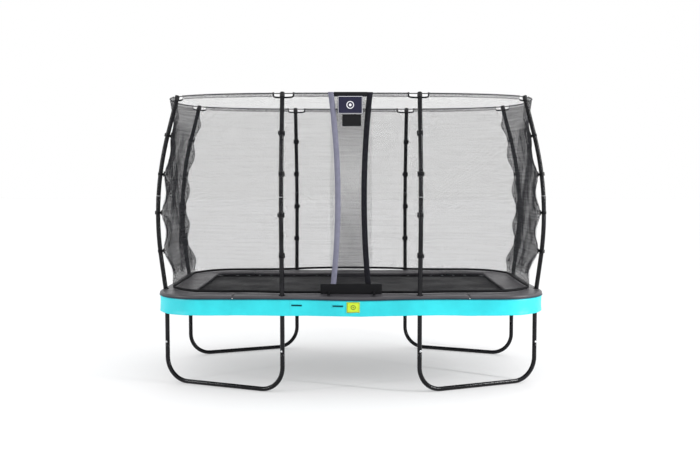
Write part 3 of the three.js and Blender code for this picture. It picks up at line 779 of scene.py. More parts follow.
def make_posts():
    for post in POSTS:
        shape = Shape()
        foot, top = post.at(0.0, 0.0, LEG_TOP + 0.0006), post.at(0.0, 0.0, RAIL_Z - 0.02)
        shape.tube(line(foot, top, 6), TUBE, ROUND_SIDES, bevel=DEBURRED)
        ends = [post.at(0.0, side * SLEEVE_HALF, RAIL_Z) for side in (-1.0, 1.0)]
        shape.tube(line(*ends, 4), SLEEVE_RADIUS, ROUND_SIDES, bevel=0.0015)
        stub = [post.pole(z) for z in (RAIL_Z + 0.01, POLE_FOOT, POLE_FOOT + STUB_REACH)]
        shape.tube(stub, STUB_RADIUS, 20)
        weld(shape, post.at(0.0, 0.0, RAIL_Z - 0.0235), [0, 0, 1], 0.0215)
        lean = pole_lean(RAIL_Z + 0.03)
        axis = post.at(lean, 0.0, 1.0) - post.at(0.0, 0.0, 0.0)
        weld(shape, post.at(float(pole_bow(RAIL_Z + 0.025)), 0.0, RAIL_Z + 0.024), axis, 0.0172)
        finished(shape, f"post_tube_{post.name}", FRAME, "steel", COAT,
                 stands_for=[f"post_{post.name}"])


def rail_corner_path(sx, sy):
    path = [(SIDE_X, RAIL_Y), (SIDE_X + 0.3, RAIL_Y), (RAIL_X - RAIL_RADIUS - 0.05, RAIL_Y)]
    for k in range(17):
        angle = (1 - k / 16) * math.pi / 2
        path.append((RAIL_X - RAIL_RADIUS * (1 - math.cos(angle)),
                     RAIL_Y - RAIL_RADIUS * (1 - math.sin(angle))))
    path += [(RAIL_X, RAIL_Y - RAIL_RADIUS - 0.02), (RAIL_X, CORNER_Y)]
    return [(sx * x, sy * y, RAIL_Z) for x, y in path]


def make_rails():
    half_x, half_y = SIDE_X - RAIL_GAP, CORNER_Y - RAIL_GAP
    for name, sign in (("front", -1), ("back", 1)):
        ends = [(side * half_x, sign * RAIL_Y, RAIL_Z) for side in (-1, 1)]
        steel_tube(f"rail_tube_{name}", line(*ends, 8), TUBE, RAIL_SIDES, f"rail_{name}")
    for name, sign in (("left", -1), ("right", 1)):
        ends = [(sign * RAIL_X, side * half_y, RAIL_Z) for side in (-1, 1)]
        steel_tube(f"rail_tube_{name}", line(*ends, 8), TUBE, RAIL_SIDES, f"rail_{name}")
    for quarter in QUARTERS:
        path = rail_corner_path(*quarter_signs(quarter))
        steel_tube(f"rail_bend_{quarter}", path, TUBE, RAIL_SIDES, f"rail_corner_{quarter}")


JOINT_GAP = 0.0025  # between the lower and the upper pole, where their spigot shows
JOINT_FLARE = 0.0007  # of the lower pole below the joint
SPIGOT_RADIUS, SPIGOT_REACH = 0.0185, 0.012


def make_poles():
    for post in POSTS:
        heights = np.linspace(POLE_FOOT, POLE_JOINT, 26)
        flare = TUBE + JOINT_FLARE * smooth(POLE_JOINT - 0.05, POLE_JOINT - 0.04, heights)
        steel_tube(f"pole_tube_lower_{post.name}", [post.pole(z) for z in heights], flare,
                   ROUND_SIDES, f"pole_lower_{post.name}", DEBURRED)
        heights = np.linspace(POLE_JOINT + JOINT_GAP, POLE_TOP, 28)
        steel_tube(f"pole_tube_upper_{post.name}", [post.pole(z) for z in heights],
                   TUBE - 0.0004, ROUND_SIDES, f"pole_upper_{post.name}", DEBURRED)
        spigot = Shape()
        heights = np.linspace(POLE_JOINT - SPIGOT_REACH, POLE_JOINT + JOINT_GAP + SPIGOT_REACH, 6)
        spigot.tube([post.pole(z) for z in heights], SPIGOT_RADIUS, RAIL_SIDES)
        finished(spigot, f"pole_spigot_{post.name}", FRAME, "steel", ZINC)


def make_caps():
    profile = [(0.0205, -0.016), (0.0232, -0.016), (0.0235, -0.0145), (0.0235, -0.002),
               (0.0228, 0.0), (0.0226, 0.018), (0.0218, 0.024), (0.0195, 0.029),
               (0.0150, 0.0315), (0.0070, 0.0322)]
    for post in POSTS:
        shape = Shape()
        place = post.placed(float(pole_bow(POLE_TOP)), POLE_TOP, -LEAN_IN)
        shape.lathe(profile, 28, place)
        finished(shape, f"cap_dome_{post.name}", FRAME, "cap_plastic", PLASTIC,
                 stands_for=[f"cap_{post.name}"])


def make_ring():
    plan = ring_line(count=360)
    shape = Shape()
    shape.tube(np.column_stack([plan, np.full(len(plan), RING_Z)]), RING_ROD, 12, closed=True)
    finished(shape, "ring_rod", FRAME, "ring_rod", FIBRE, stands_for=["top_ring"])


# ---------- jump mat and springs ----------

MAT_EDGE_GIVE = 0.3  # how far the mat's edge follows its middle
MAT_RINGS = 26
EDGINGS = ((-0.018, 0.0014, 0.034), (-0.043, 0.0009, 0.05))  # offset, lift and width


def mat_weights(points):
    """1 in the middle of the mat, less towards its edge."""
    half_x, half_y = RAIL_X - MAT_INSET, RAIL_Y - MAT_INSET
    away = np.hypot(points[:, 0] / half_x, points[:, 1] / half_y)
    square = np.maximum(np.abs(points[:, 0]) / half_x, np.abs(points[:, 1]) / half_y)
    reach = np.clip(np.maximum(square, 0.75 * away), 0, 1)
    return mix(1.0, MAT_EDGE_GIVE, smooth(0, 1, reach))


def bend(obj):
    """Bakes the piece's transform into its mesh."""
    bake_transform(obj)


def follow_mat(obj, weights):
    bend(obj)


def points_of(obj):
    flat = np.zeros(len(obj.data.vertices) * 3)
    obj.data.vertices.foreach_get("co", flat)
    return flat.reshape(-1, 3)


def mat_sheet(z):
    """Rings of points from the mat's edge towards its middle."""
    edge = outline(-MAT_INSET, corner_steps=10, side_step=0.05)
    height = np.full(len(edge), z)
    return np.array([np.column_stack([edge * (1 - k / MAT_RINGS), height])
                     for k in range(MAT_RINGS)])


def make_mat():
    shape = Shape()
    top, bottom = mat_sheet(MAT_HIGH - 0.0008), mat_sheet(MAT_LOW + 0.0008)
    for rings, flip in ((top, False), (bottom, True)):
        uvs = np.concatenate([rings, rings[:, :1]], 1)[..., :2]
        first = shape.grid(rings, uvs, wrap=True, flip=flip)
        count = rings.shape[1]
        shape.cap(first + (len(rings) - 1) * count, count, flip=flip)
    rim = np.array([bottom[0], top[0]])
    uvs = np.concatenate([rim, rim[:, :1]], 1)[..., :2]
    shape.grid(rim, uvs, wrap=True)
    mat = shape.build("mat_bed", WEAVE)
    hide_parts("jump_mat")
    follow_mat(mat, mat_weights(points_of(mat)))


def make_mat_edging():
    """The doubled webbing round the mat and its wire rings."""
    shape = Shape()
    for offset, lift, width in EDGINGS:
        plan = outline(-MAT_INSET + offset, corner_steps=12, side_step=0.05)
        path = np.column_stack([plan, np.full(len(plan), MAT_HIGH - 0.0004 + lift)])
        inward = path - np.roll(path, 1, axis=0)
        across = np.column_stack([inward[:, 1], -inward[:, 0], inward[:, 2]])
        shape.ribbon(path, across, width, 0.0018, closed=True)
    for x, y, angle in spring_places():
        rings_at(shape, x, y, angle)
    obj = shape.build("mat_edging", BLACK_WEB, SHADED_SPRING_STEEL)
    follow_mat(obj, mat_weights(points_of(obj)))


def spring_places():
    """Every spring's point on the rail's centre line, and its direction outwards."""
    long_half, end_half = RAIL_X - RAIL_RADIUS, RAIL_Y - RAIL_RADIUS
    places = []
    for side in (-1, 1):
        for i in range(21):
            places.append(((i - 10) * SPRING_PITCH, side * RAIL_Y, side * math.pi / 2))
        for i in range(10):
            angle = 0.0 if side > 0 else math.pi
            places.append((side * RAIL_X, (i - 4.5) * SPRING_PITCH, angle))
        for other in (-1, 1):
            for degrees in (22.5, 45, 67.5):
                slope = math.radians(degrees)
                x = side * (long_half + RAIL_RADIUS * math.cos(slope))
                y = other * (end_half + RAIL_RADIUS * math.sin(slope))
                places.append((x, y, math.atan2(other * math.sin(slope), side * math.cos(slope))))
    return places


def along_spring(x, y, angle, inset, aside=0.0, z=0.0):
    c, s = math.cos(angle), math.sin(angle)
    return np.array([x - inset * c - aside * s, y - inset * s + aside * c, SPRING_Z + z])


def rings_at(shape, x, y, angle):
    """The V-shaped wire ring that a spring hooks into."""
    corners = [(0.228, -0.020), (0.2225, -0.020), (0.2085, -0.004), (0.2065, 0.0),
               (0.2085, 0.004), (0.2225, 0.020), (0.228, 0.020)]
    shape.tube([along_spring(x, y, angle, i, a, 0.001) for i, a in corners], 0.0022, 8, mark=1)


def spring_path(x, y, angle):
    """A coil with a hook at each end, from the rail to the mat's ring."""
    coil_from, coil_to, radius, turns = 0.05, 0.185, 0.0072, 22
    path = [along_spring(x, y, angle, i, 0, z)
            for i, z in ((0.004, -0.006), (0.008, -0.0235), (0.020, -0.0265), (0.032, -0.020),
                         (0.042, -0.004))]
    for k in range(turns * 8 + 1):
        turn = k / 8 * math.tau
        inset = mix(coil_from, coil_to, k / (turns * 8))
        path.append(along_spring(x, y, angle, inset, radius * math.sin(turn),
                                 radius * math.cos(turn)))
    path += [along_spring(x, y, angle, i, 0, z)
             for i, z in ((0.192, 0.0), (0.204, -0.004), (0.210, 0.0005), (0.207, 0.006),
                          (0.201, 0.005))]
    return path


def spring_side(x, y, angle):
    if abs(math.sin(angle)) > 0.99:
        return "back" if y > 0 else "front"
    return "right" if x > 0 else "left"


def make_springs():
    shapes = {side: Shape() for side in ("front", "back", "left", "right")}
    banks = {side: [] for side in shapes}
    for x, y, angle in spring_places():
        side = spring_side(x, y, angle)
        path = spring_path(x, y, angle)
        shapes[side].tube(path, 0.0016, 5)
        toward = np.array([math.cos(angle), math.sin(angle)])
        rail = np.array([x, y])
        inset = ((rail - np.asarray(path)[:, :2]) @ toward).clip(0, None)
        share = smooth(SPRING_OUTER, SPRING_INNER, inset)
        edge = along_spring(x, y, angle, MAT_INSET)[None]
        banks[side].append(np.repeat(share * mat_weights(edge)[0], 5))
    for side, shape in shapes.items():
        obj = shape.build(f"spring_coils_{side}", SHADED_SPRING_STEEL)
        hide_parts(f"springs_{side}")
        follow_mat(obj, np.concatenate(banks[side]))


# ---------- padding and skirt ----------


class Loop:
    """The rail's outline moved out by `offset`, by the distance s along it, counter-clockwise
    from the front right corner's start. front(x) gives s on the front side."""

    def __init__(self, offset):
        plan = outline(offset, corner_steps=60, side_step=0.02)
        plan = np.vstack([plan, plan[:1]])
        self.run = run_along(plan)
        self.length = float(self.run[-1])
        tangent = np.gradient(plan, axis=0)
        tangent[0] = tangent[-1] = (1, 0)
        tangent = unit(tangent)
        self.plan = plan
        self.outward = np.column_stack([tangent[:, 1], -tangent[:, 0]])

    def front(self, x):
        return np.asarray(x, float) - (RAIL_X - RAIL_RADIUS)

    def at(self, s):
        s = np.mod(s, self.length)
        place = [np.interp(s, self.run, self.plan[:, k]) for k in (0, 1)]
        out = [np.interp(s, self.run, self.outward[:, k]) for k in (0, 1)]
        return np.stack(place, -1), np.stack(out, -1)


EDGE = Loop(PAD_OVERHANG - 0.004)


def droop(x, y):
    """How far the padding's outer edge and the skirt hang down, most in a side's middle."""
    x, y = np.asarray(x, float), np.asarray(y, float)
    long_side = np.exp(-((x - 0.05) / 0.42) ** 2) * (np.abs(y) > 0.9)
    end_side = np.exp(-((y / 0.3) ** 2)) * (np.abs(x) > 1.7)
    return 0.013 * long_side + 0.006 * end_side


def pad_pairs_long(step=0.02):
    """Inner and outer points across the front padding, from left to right."""
    half = PAD_JOINT - PAD_GAP
    near, full = np.array(PAD_END[:-1]), PAD_END[-1]
    x = np.concatenate([-half + near, np.linspace(-half + full, half - full,
                                                  round(2 * half / step)), half - near[::-1]])
    inner = np.column_stack([x, np.full(len(x), -PAD_INNER[1])])
    outer = np.column_stack([x, np.full(len(x), -(RAIL_Y + PAD_OVERHANG))])
    return inner, outer


def pad_pairs_end(step=0.02):
    """Inner and outer points across the right end's padding, from front to back."""
    start = PAD_JOINT + PAD_GAP
    inner_x, inner_y, inner_r = PAD_INNER
    outer_x, outer_y = RAIL_X + PAD_OVERHANG, RAIL_Y + PAD_OVERHANG
    outer_r = RAIL_RADIUS + PAD_OVERHANG
    ix, iy, ox, oy = inner_x - inner_r, inner_y - inner_r, outer_x - outer_r, outer_y - outer_r
    inner, outer = [], []
    straight = np.linspace(PAD_END[-1], ox - start, round((ox - start) / step))
    share = [*PAD_END, *straight[1:]]
    for d in share:
        inner.append((start + d * (ix - start) / (ox - start), -inner_y))
        outer.append((start + d, -outer_y))
    for k in range(1, 25):
        angle = math.radians(-90 + 90 * k / 24)
        inner.append((ix + inner_r * math.cos(angle), -iy + inner_r * math.sin(angle)))
        outer.append((ox + outer_r * math.cos(angle), -oy + outer_r * math.sin(angle)))
    for k in range(1, round(oy / step) + 1):
        share = k / round(oy / step)
        inner.append((inner_x, -iy * (1 - share)))
        outer.append((outer_x, -oy * (1 - share)))
    inner, outer = np.array(inner), np.array(outer)
    mirrored = np.array([1, -1])
    return (np.vstack([inner, inner[-2::-1] * mirrored]),
            np.vstack([outer, outer[-2::-1] * mirrored]))


def pad_profile():
    """The padding's closed section: share across and share up, over the top and back below."""
    near, far = 0.045, 1 - 0.045

    def arc(centre, degrees, count):
        angles = [math.radians(degrees - 15 * k) for k in range(count)]
        return [(centre + near * math.cos(a), 0.5 + 0.5 * math.sin(a)) for a in angles]

    return np.array([*arc(near, 180, 7), *((t, 1.0) for t in np.linspace(near, far, 20)[1:-1]),
                     *arc(far, 90, 13), *((t, 0.0) for t in np.linspace(far, near, 9)[1:-1]),
                     *arc(near, 270, 6)])


def pad_points(inner, outer, seed, sag):
    profile = pad_profile()
    run = run_along((inner + outer) / 2)
    to_end = np.minimum(run, run[-1] - run)[:, None]
    close = np.sqrt(np.clip(1 - (1 - np.clip(to_end / PAD_END[-1], 0, 1)) ** 2, 0.12, 1))
    share, up = profile[:, 0][None], profile[:, 1][None]
    plan = inner[:, None] + (outer - inner)[:, None] * share[..., None]
    crown = 0.0055 * np.sin(math.pi * share) ** 0.6 - 0.002
    ripples = 0.0016 * waves(run[:, None] + 0.15 * share, seed, 6, 0.9, 0.1)
    ripples = ripples + 0.0012 * waves(share * 0.3 + 0.4 * run[:, None], seed + 1, 3, 0.4, 0.1)
    half = (PAD_HIGH - PAD_LOW) / 2
    middle_z = (PAD_HIGH + PAD_LOW) / 2
    z = middle_z + (up * 2 - 1) * half * close + up * (crown + ripples)
    edge_fall = smooth(0.72, 1.0, share) * droop(plan[..., 0], plan[..., 1])
    uneven = 0.6 + 0.4 * waves(run, seed + 2, 3, 1.6, 0.5)[:, None]
    inner_fall = smooth(0.55, 0.0, share) * sag * uneven
    z = z - edge_fall - inner_fall * smooth(0, 0.2, to_end)
    points = np.concatenate([plan, z[..., None]], -1)
    around = run_along(profile * [0.29, 0.032], closed=True)
    return points, uv_grid(around, run)


def drill(obj, posts):
    """Cuts the holes that the poles pass through."""
    cutter = Shape()
    for post in posts:
        hole = post.placed(HOLE_SHIFT, 0.0)
        cutter.lathe([(HOLE_RADIUS, 0.84), (HOLE_RADIUS, 0.95)], 32, hole)
    tool = cutter.build("hole_cutter", PAD_BACKING)
    cut = obj.modifiers.new("holes", "BOOLEAN")
    cut.operation, cut.solver, cut.object = "DIFFERENCE", "EXACT", tool
    seen = obj.evaluated_get(bpy.context.evaluated_depsgraph_get())
    mesh = bpy.data.meshes.new_from_object(seen)
    obj.modifiers.remove(cut)
    obj.data = mesh
    bpy.data.objects.remove(tool)


def make_pads():
    makers = {"front": (pad_pairs_long, 1, 0.004), "back": (pad_pairs_long, -1, 0.012),
              "right": (pad_pairs_end, 1, 0.006), "left": (pad_pairs_end, -1, 0.006)}
    for seed, (side, (pairs, turn, sag)) in enumerate(makers.items()):
        inner, outer = pairs()
        points, uvs = pad_points(inner * turn, outer * turn, 20 + 5 * seed, sag)
        shape = Shape()
        shape.solid(points, uvs)
        pad = shape.build(f"pad_foam_{side}", PAD_VINYL)
        long_side = side in ("front", "back")
        held = [p for p in POSTS if (side in p.name and ("side" in p.name) == long_side)]
        drill(pad, held)
        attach(pad, FRAME)
        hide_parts(f"pad_{side}")


def make_hole_bindings():
    shape = Shape()
    radius = HOLE_RADIUS + 0.0005
    for post in POSTS:
        turns = np.arange(40) * math.tau / 40
        ring = []
        for t in turns:
            out = HOLE_SHIFT + radius * math.cos(t)
            spot = post.at(out, radius * math.sin(t), PAD_HIGH + 0.0025)
            fall = 0.012 * float(smooth(0.02, 0.045, out))
            ring.append(spot - [0, 0, fall])
        shape.tube(ring, 0.0032, 8, closed=True)
    finished(shape, "hole_bindings", FRAME, "webbing", BLACK_WEB)


def make_piping():
    s = np.linspace(0, EDGE.length, 700, endpoint=False)
    plan, out = EDGE.at(s)
    plan = plan + 0.0035 * out
    z = PAD_LOW + 0.0015 - droop(plan[:, 0], plan[:, 1])
    shape = Shape()
    shape.tube(np.column_stack([plan, z]), 0.0042, 8, closed=True)
    finished(shape, "pad_piping", FRAME, "skirt_vinyl", PIPING)


def skirt_at(s, v, lift=0.0):
    """The skirt's surface: s along the edge, v from 0 at its top to 1 at its lower edge."""
    s, v = np.broadcast_arrays(np.asarray(s, float), np.asarray(v, float))
    plan, out = EDGE.at(s)
    folds = 0.0055 * waves(s, 61, 6, 1.1, 0.13) + 0.0022 * waves(s + 0.25 * v, 62, 4, 0.3, 0.07)
    inward = 0.006 * np.sin(math.pi * v) * (0.6 + 0.4 * waves(s, 63, 3, 2.0, 0.6))
    away = v**1.3 * folds - inward + lift
    fall = droop(plan[..., 0], plan[..., 1])
    hem = 0.0035 * waves(s, 64, 5, 1.6, 0.2)
    z = mix(SKIRT_HIGH, SKIRT_LOW + 0.004, v) - fall * (1 - 0.35 * v) + v * hem
    return np.concatenate([plan + away[..., None] * out, z[..., None]], -1)


def make_skirt():
    s = np.linspace(0, EDGE.length, 880, endpoint=False)
    down = np.concatenate([np.linspace(0, 0.86, 9), [0.875, 0.9, 0.95, 0.985, 1.0]])
    thick = np.where(down > 0.87, 0.0022, 0.0011) / 2
    v = np.concatenate([down, down[::-1]])
    lift = np.concatenate([thick, -thick[::-1]])
    points = skirt_at(s[:, None], v[None], lift[None])
    around = np.concatenate([[0], np.cumsum(np.abs(np.diff(v)) * SKIRT_DROP + 0.0005), [0.33]])
    uvs = uv_grid(around, np.append(s, EDGE.length))
    shape = Shape()
    shape.grid(points, uvs, wrap=True, wrap_rows=True)
    skirt = finished(shape, "skirt_loop", FRAME, "skirt_vinyl", SKIRT_VINYL)


def skirt_patch(shape, x, v, lift, thick, mark=0, steps=(10, 6), s=None):
    """A thin patch that lies on the front of the skirt, over a range of x and of v."""
    across = (EDGE.front(np.linspace(*x, steps[0] + 1)) if s is None
              else np.linspace(*s, steps[0] + 1))
    down = np.linspace(*v, steps[1] + 1)
    grids = [skirt_at(across[None], down[:, None], lift + d) for d in (thick, 0.0)]
    closed_sheet(shape, grids[0], grids[1], across, -down * SKIRT_DROP, mark)


def closed_sheet(shape, front, behind, across, up, mark=0):
    """Two grids and the rim between them, as one closed thin sheet."""
    uvs = uv_grid(across, up)
    a = shape.grid(front, uvs, mark=mark, flip=True)
    b = shape.grid(behind, uvs, mark=mark)
    rows, columns = front.shape[:2]
    rim = ([(0, c) for c in range(columns - 1)] + [(r, columns - 1) for r in range(rows - 1)]
           + [(rows - 1, c) for c in range(columns - 1, 0, -1)]
           + [(r, 0) for r in range(rows - 1, 0, -1)])
    for (r0, c0), (r1, c1) in zip(rim, rim[1:] + rim[:1]):
        i, j = r0 * columns + c0, r1 * columns + c1
        at = [tuple(uvs[r0, c0]), tuple(uvs[r1, c1])]
        shape.add_face([a + i, a + j, b + j, b + i], [at[0], at[1], at[1], at[0]], mark, False)


def make_skirt_trim():
    seams = Shape()
    for x in (-0.548, 0.66):
        skirt_patch(seams, (x - 0.006, x + 0.006), (0.0, 0.995), 0.0006, 0.0009, steps=(2, 12))
    half = EDGE.length / 2
    for s in (half - 2.9, half - 1.4, half + 0.1, half + 1.6, 1.3, EDGE.length - 3.9):
        skirt_patch(seams, None, (0.0, 0.995), 0.0006, 0.0009, steps=(2, 12),
                    s=(s - 0.006, s + 0.006))
    finished(seams, "skirt_seams", FRAME, "skirt_vinyl", SKIRT_VINYL)
    slots = Shape()
    for x in ((-0.542, -0.447), (-0.168, -0.072)):
        skirt_patch(slots, x, (0.30, 0.40), 0.0006, 0.0006, steps=(12, 3))
        for v in ((0.27, 0.30), (0.40, 0.43)):
            wide = (x[0] - 0.003, x[1] + 0.003)
            skirt_patch(slots, wide, v, 0.0006, 0.0012, mark=1, steps=(12, 2))
        for side in (x[0] - 0.004, x[1]):
            upright = (side, side + 0.004)
            skirt_patch(slots, upright, (0.27, 0.43), 0.0006, 0.0012, mark=1, steps=(2, 5))
    finished(slots, "skirt_slots", FRAME, "skirt_vinyl", SLOT_DARK, SKIRT_VINYL)
    label = Shape()
    skirt_patch(label, (-0.04, 0.08), (0.08, 0.77), 0.001, 0.0012, steps=(12, 10))
    finished(label, "skirt_label", FRAME, "label_fabric", LABEL)


# ---------- net ----------

# the net's upper edge by the distance from a pole
CUT_OUT = ([0, 0.05, 0.08, 0.0975], [2.709, 2.711, 2.714, 2.718])
DRAWN_IN, DRAWN_REACH = 0.044, 0.12  # between two straps, and how far along the panel
CREASE = 0.006
GATHER_PITCH, GATHER_DEPTH = 0.041, 0.0075


def net_inset(z):
    return mix(NET_HEM_INSET, NET_INSET, smooth(NET_LOW, STRAPS_Z[0], z))


class Panel:
    """The net between two neighbouring posts, counter-clockwise seen from above."""

    def __init__(self, start, end, bulge):
        self.start, self.end, self.bulge = POST[start], POST[end], bulge
        self.width = float(np.linalg.norm(self.end.foot - self.start.foot))
        self.ring = RingRun(self.start, self.end)
        self.seed = ROUND.index(start) * 11

    def depth(self, z):
        rise = np.clip((z - NET_LOW) / (NET_HIGH - NET_LOW), 0, 1)
        bottom, halfway, top = self.bulge[:3]
        return bottom * (1 - rise) ** 2 + 2 * halfway * rise * (1 - rise) + top * rise**2

    def share(self, t, z):
        rise = np.clip((z - NET_LOW) / (NET_HIGH - NET_LOW), 0, 1)
        skew = mix(self.bulge[3], self.bulge[4], rise)
        backwards = self.start.out[0] != 0 and self.end.out[0] == 0
        return 1 - (1 - t) ** skew if backwards else t**skew

    def wrinkles(self, t, z):
        """Creases that run out from the straps, and the net drawn in between them."""
        total = 0.006 * waves(z + 0.4 * t, self.seed, 4, 1.3, 0.3)
        total = total + 0.004 * waves(t * self.width - 0.5 * z, self.seed + 1, 5, 0.9, 0.12)
        total = total * smooth(0, 0.2, t) * smooth(1, 0.8, t)
        if self.bulge is END_BULGE:
            total = total + self.gathers(t, z)
        for k, away in enumerate((t * self.width, (1 - t) * self.width)):
            between = (z - STRAPS_Z[0]) / STRAP_PITCH
            held = smooth(-1.0, -0.5, between) * smooth(3.75, 3.4, between)
            drawn = DRAWN_IN * np.sin(math.pi * between) ** 2 * np.exp(-away / DRAWN_REACH)
            total = total - drawn * held
            for j, height in enumerate(STRAPS_Z):
                reach = np.hypot(away, z - height)
                slope = np.arctan2(z - height, away + 1e-6)
                crease = np.cos(9 * slope + 1.7 * j + k + self.seed)
                fading = np.exp(-reach / 0.2) * smooth(0.01, 0.07, reach)
                total = total + CREASE * crease * fading
        return total

    def gathers(self, t, z):
        """Upright folds, in which the fuller net of an end hangs."""
        run = t * self.width + 0.02 * waves(z, self.seed + 3, 3, 1.1, 0.3)
        depth = GATHER_DEPTH * (0.75 + 0.25 * waves(z + 2 * t, self.seed + 4, 3, 0.8, 0.2))
        held = smooth(0, 0.06, t) * smooth(1, 0.94, t) * smooth(NET_LOW, 1.1, z) \
            * smooth(2.72, 2.45, z)
        return depth * np.sin(run * math.tau / GATHER_PITCH) * held

    def at(self, t, z, proud=0.0):
        t, z, proud = np.broadcast_arrays(*(np.asarray(v, float) for v in (t, z, proud)))
        out = (pole_bow(z) - net_inset(z))[..., None]
        a = self.start.foot + out * self.start.out
        b = self.end.foot + out * self.end.out
        along = unit(b - a)
        outward = np.stack([along[..., 1], -along[..., 0]], -1)
        away = self.depth(z) * np.sin(math.pi * self.share(t, z)) + self.wrinkles(t, z)
        plan = mix(a, b, t[..., None]) + away[..., None] * outward
        high = smooth(2.45, 2.73, z)[..., None]
        plan = mix(plan, self.ring.at(t * self.ring.length), high) + proud[..., None] * outward
        return np.concatenate([plan, z[..., None]], -1)

    def top(self, t):
        """The net's upper edge: it dips where the sleeve is cut out at a pole."""
        away = np.minimum(t, 1 - t) * self.width
        return np.interp(away, *CUT_OUT)


BULGES = {"corner": CORNER_BULGE, "end": END_BULGE, "long": LONG_BULGE}
PANELS = [Panel(a, b, BULGES[kind]) for a, b, kind in zip(
    ROUND, ROUND[1:] + ROUND[:1],
    ("corner", "end", "corner", "long", "corner", "end", "corner", "long"))]
RIGHT, BACK, LEFT, FRONT = PANELS[:3], PANELS[3:4], PANELS[4:7], PANELS[7]


def hem_height(panel, t):
    """The net's lower edge, which is drawn up a little between the back's poles."""
    lifted = 0.013 if panel is BACK[0] else 0.0
    return NET_FOOT + lifted * np.sin(math.pi * t) ** 0.6


def make_net(name, panels, node):
    shape = Shape()
    start = 0.0
    v = np.linspace(0, 1, 111)[:, None]
    for panel in panels:
        end = panel.bulge is END_BULGE
        t = np.linspace(0, 1, 201 if end else 81)[None]
        z = mix(hem_height(panel, t), panel.top(t), v)
        uvs = np.stack([start + t * panel.width + 0 * z, z], -1)
        shape.grid(panel.at(t, z), uvs, mark=int(end))
        start += panel.width
    net = finished(shape, name, FRAME, "net_mesh", NET, END_NET, stands_for=[node])
    merge_seams(net)


def merge_seams(obj):
    """Joins the columns that neighbouring panels share."""
    work = bmesh.new()
    work.from_mesh(obj.data)
    bmesh.ops.remove_doubles(work, verts=work.verts, dist=1e-4)
    work.to_mesh(obj.data)
    work.free()


def make_hem(name, panels):
    """Webbing along the net's lower edge, inside and outside."""
    shape = Shape()
    for panel in panels:
        t = np.linspace(0, 1, 60)
        for proud in (0.0012, -0.0012):
            low = hem_height(panel, t)
            path = panel.at(t, low + 0.011, proud)
            up = panel.at(t, low + 0.022, proud) - path
            shape.ribbon(path, up, 0.024, 0.001)
    finished(shape, name, FRAME, "webbing", BLACK_WEB)


SLEEVE_SECTION = [(0.0, 0.0085), (0.006, 0.006), (0.0085, 0.0), (0.0066, -0.008), (0.003, -0.018),
                  (0.0014, -0.030), (0.0, -0.0315), (-0.0014, -0.030), (-0.003, -0.018),
                  (-0.0066, -0.008), (-0.0085, 0.0), (-0.006, 0.006)]


def make_sleeve(name, panels):
    """The net doubled over the ring between the cut-outs at the poles."""
    shape = Shape()
    for panel in panels:
        ring = panel.ring
        s = np.linspace(CUT_OUT[0][-1], ring.length - CUT_OUT[0][-1], 110)
        plan = ring.at(s)
        tangent = unit(np.gradient(plan, axis=0))
        outward = np.column_stack([tangent[:, 1], -tangent[:, 0]])
        points = []
        for k, (out, up) in enumerate(SLEEVE_SECTION):
            hang = max(0.0, -up) / 0.0315
            gather = 0.0022 * hang * waves(s, panel.seed + 5, 5, 0.5, 0.05)
            lower = 0.002 * hang * waves(s, panel.seed + 6, 4, 0.7, 0.12)
            where = plan + (out * (1 + 0.25 * waves(s + 0.03 * k, panel.seed + 7, 3, 0.3, 0.06))
                            + gather)[:, None] * outward
            points.append(np.column_stack([where, RING_Z + up + lower]))
        points = np.stack(points, 1)
        around = np.concatenate([np.linspace(0, 0.09, len(SLEEVE_SECTION)), [0.0975]])
        shape.grid(points, uv_grid(around, s), wrap=True)
        stitch = np.column_stack([plan + 0.002 * outward, np.full(len(s), RING_Z - 0.0265)])
        shape.tube(stitch, 0.0012, 6, mark=1)
    finished(shape, name, FRAME, "net_mesh", SLEEVE_NET, BLACK_WEB)


def make_bindings():
    """Webbing sewn round the cut-out at each pole."""
    shape = Shape()
    away = [0.0985, 0.0985, 0.098, 0.092, 0.08, 0.055, 0.03, 0.0]
    height = [2.756, 2.738, 2.724, 2.715, 2.711, 2.709, 2.708, 2.707]
    d = np.interp(np.linspace(0, 7, 36), range(8), away)
    z = np.interp(np.linspace(0, 7, 36), range(8), height)
    for before, after in zip(PANELS, PANELS[1:] + PANELS[:1]):
        left = before.at(1 - d / before.width, z, 0.0)
        right = after.at(d[::-1] / after.width, z[::-1], 0.0)
        path = np.vstack([left, right[1:]])
        out = np.concatenate([before.end.out, [0]])
        across = np.cross(path_tangents(path), out)
        shape.ribbon(path, across, 0.015, 0.0036)
    finished(shape, "cut_out_bindings", FRAME, "webbing", BLACK_WEB)


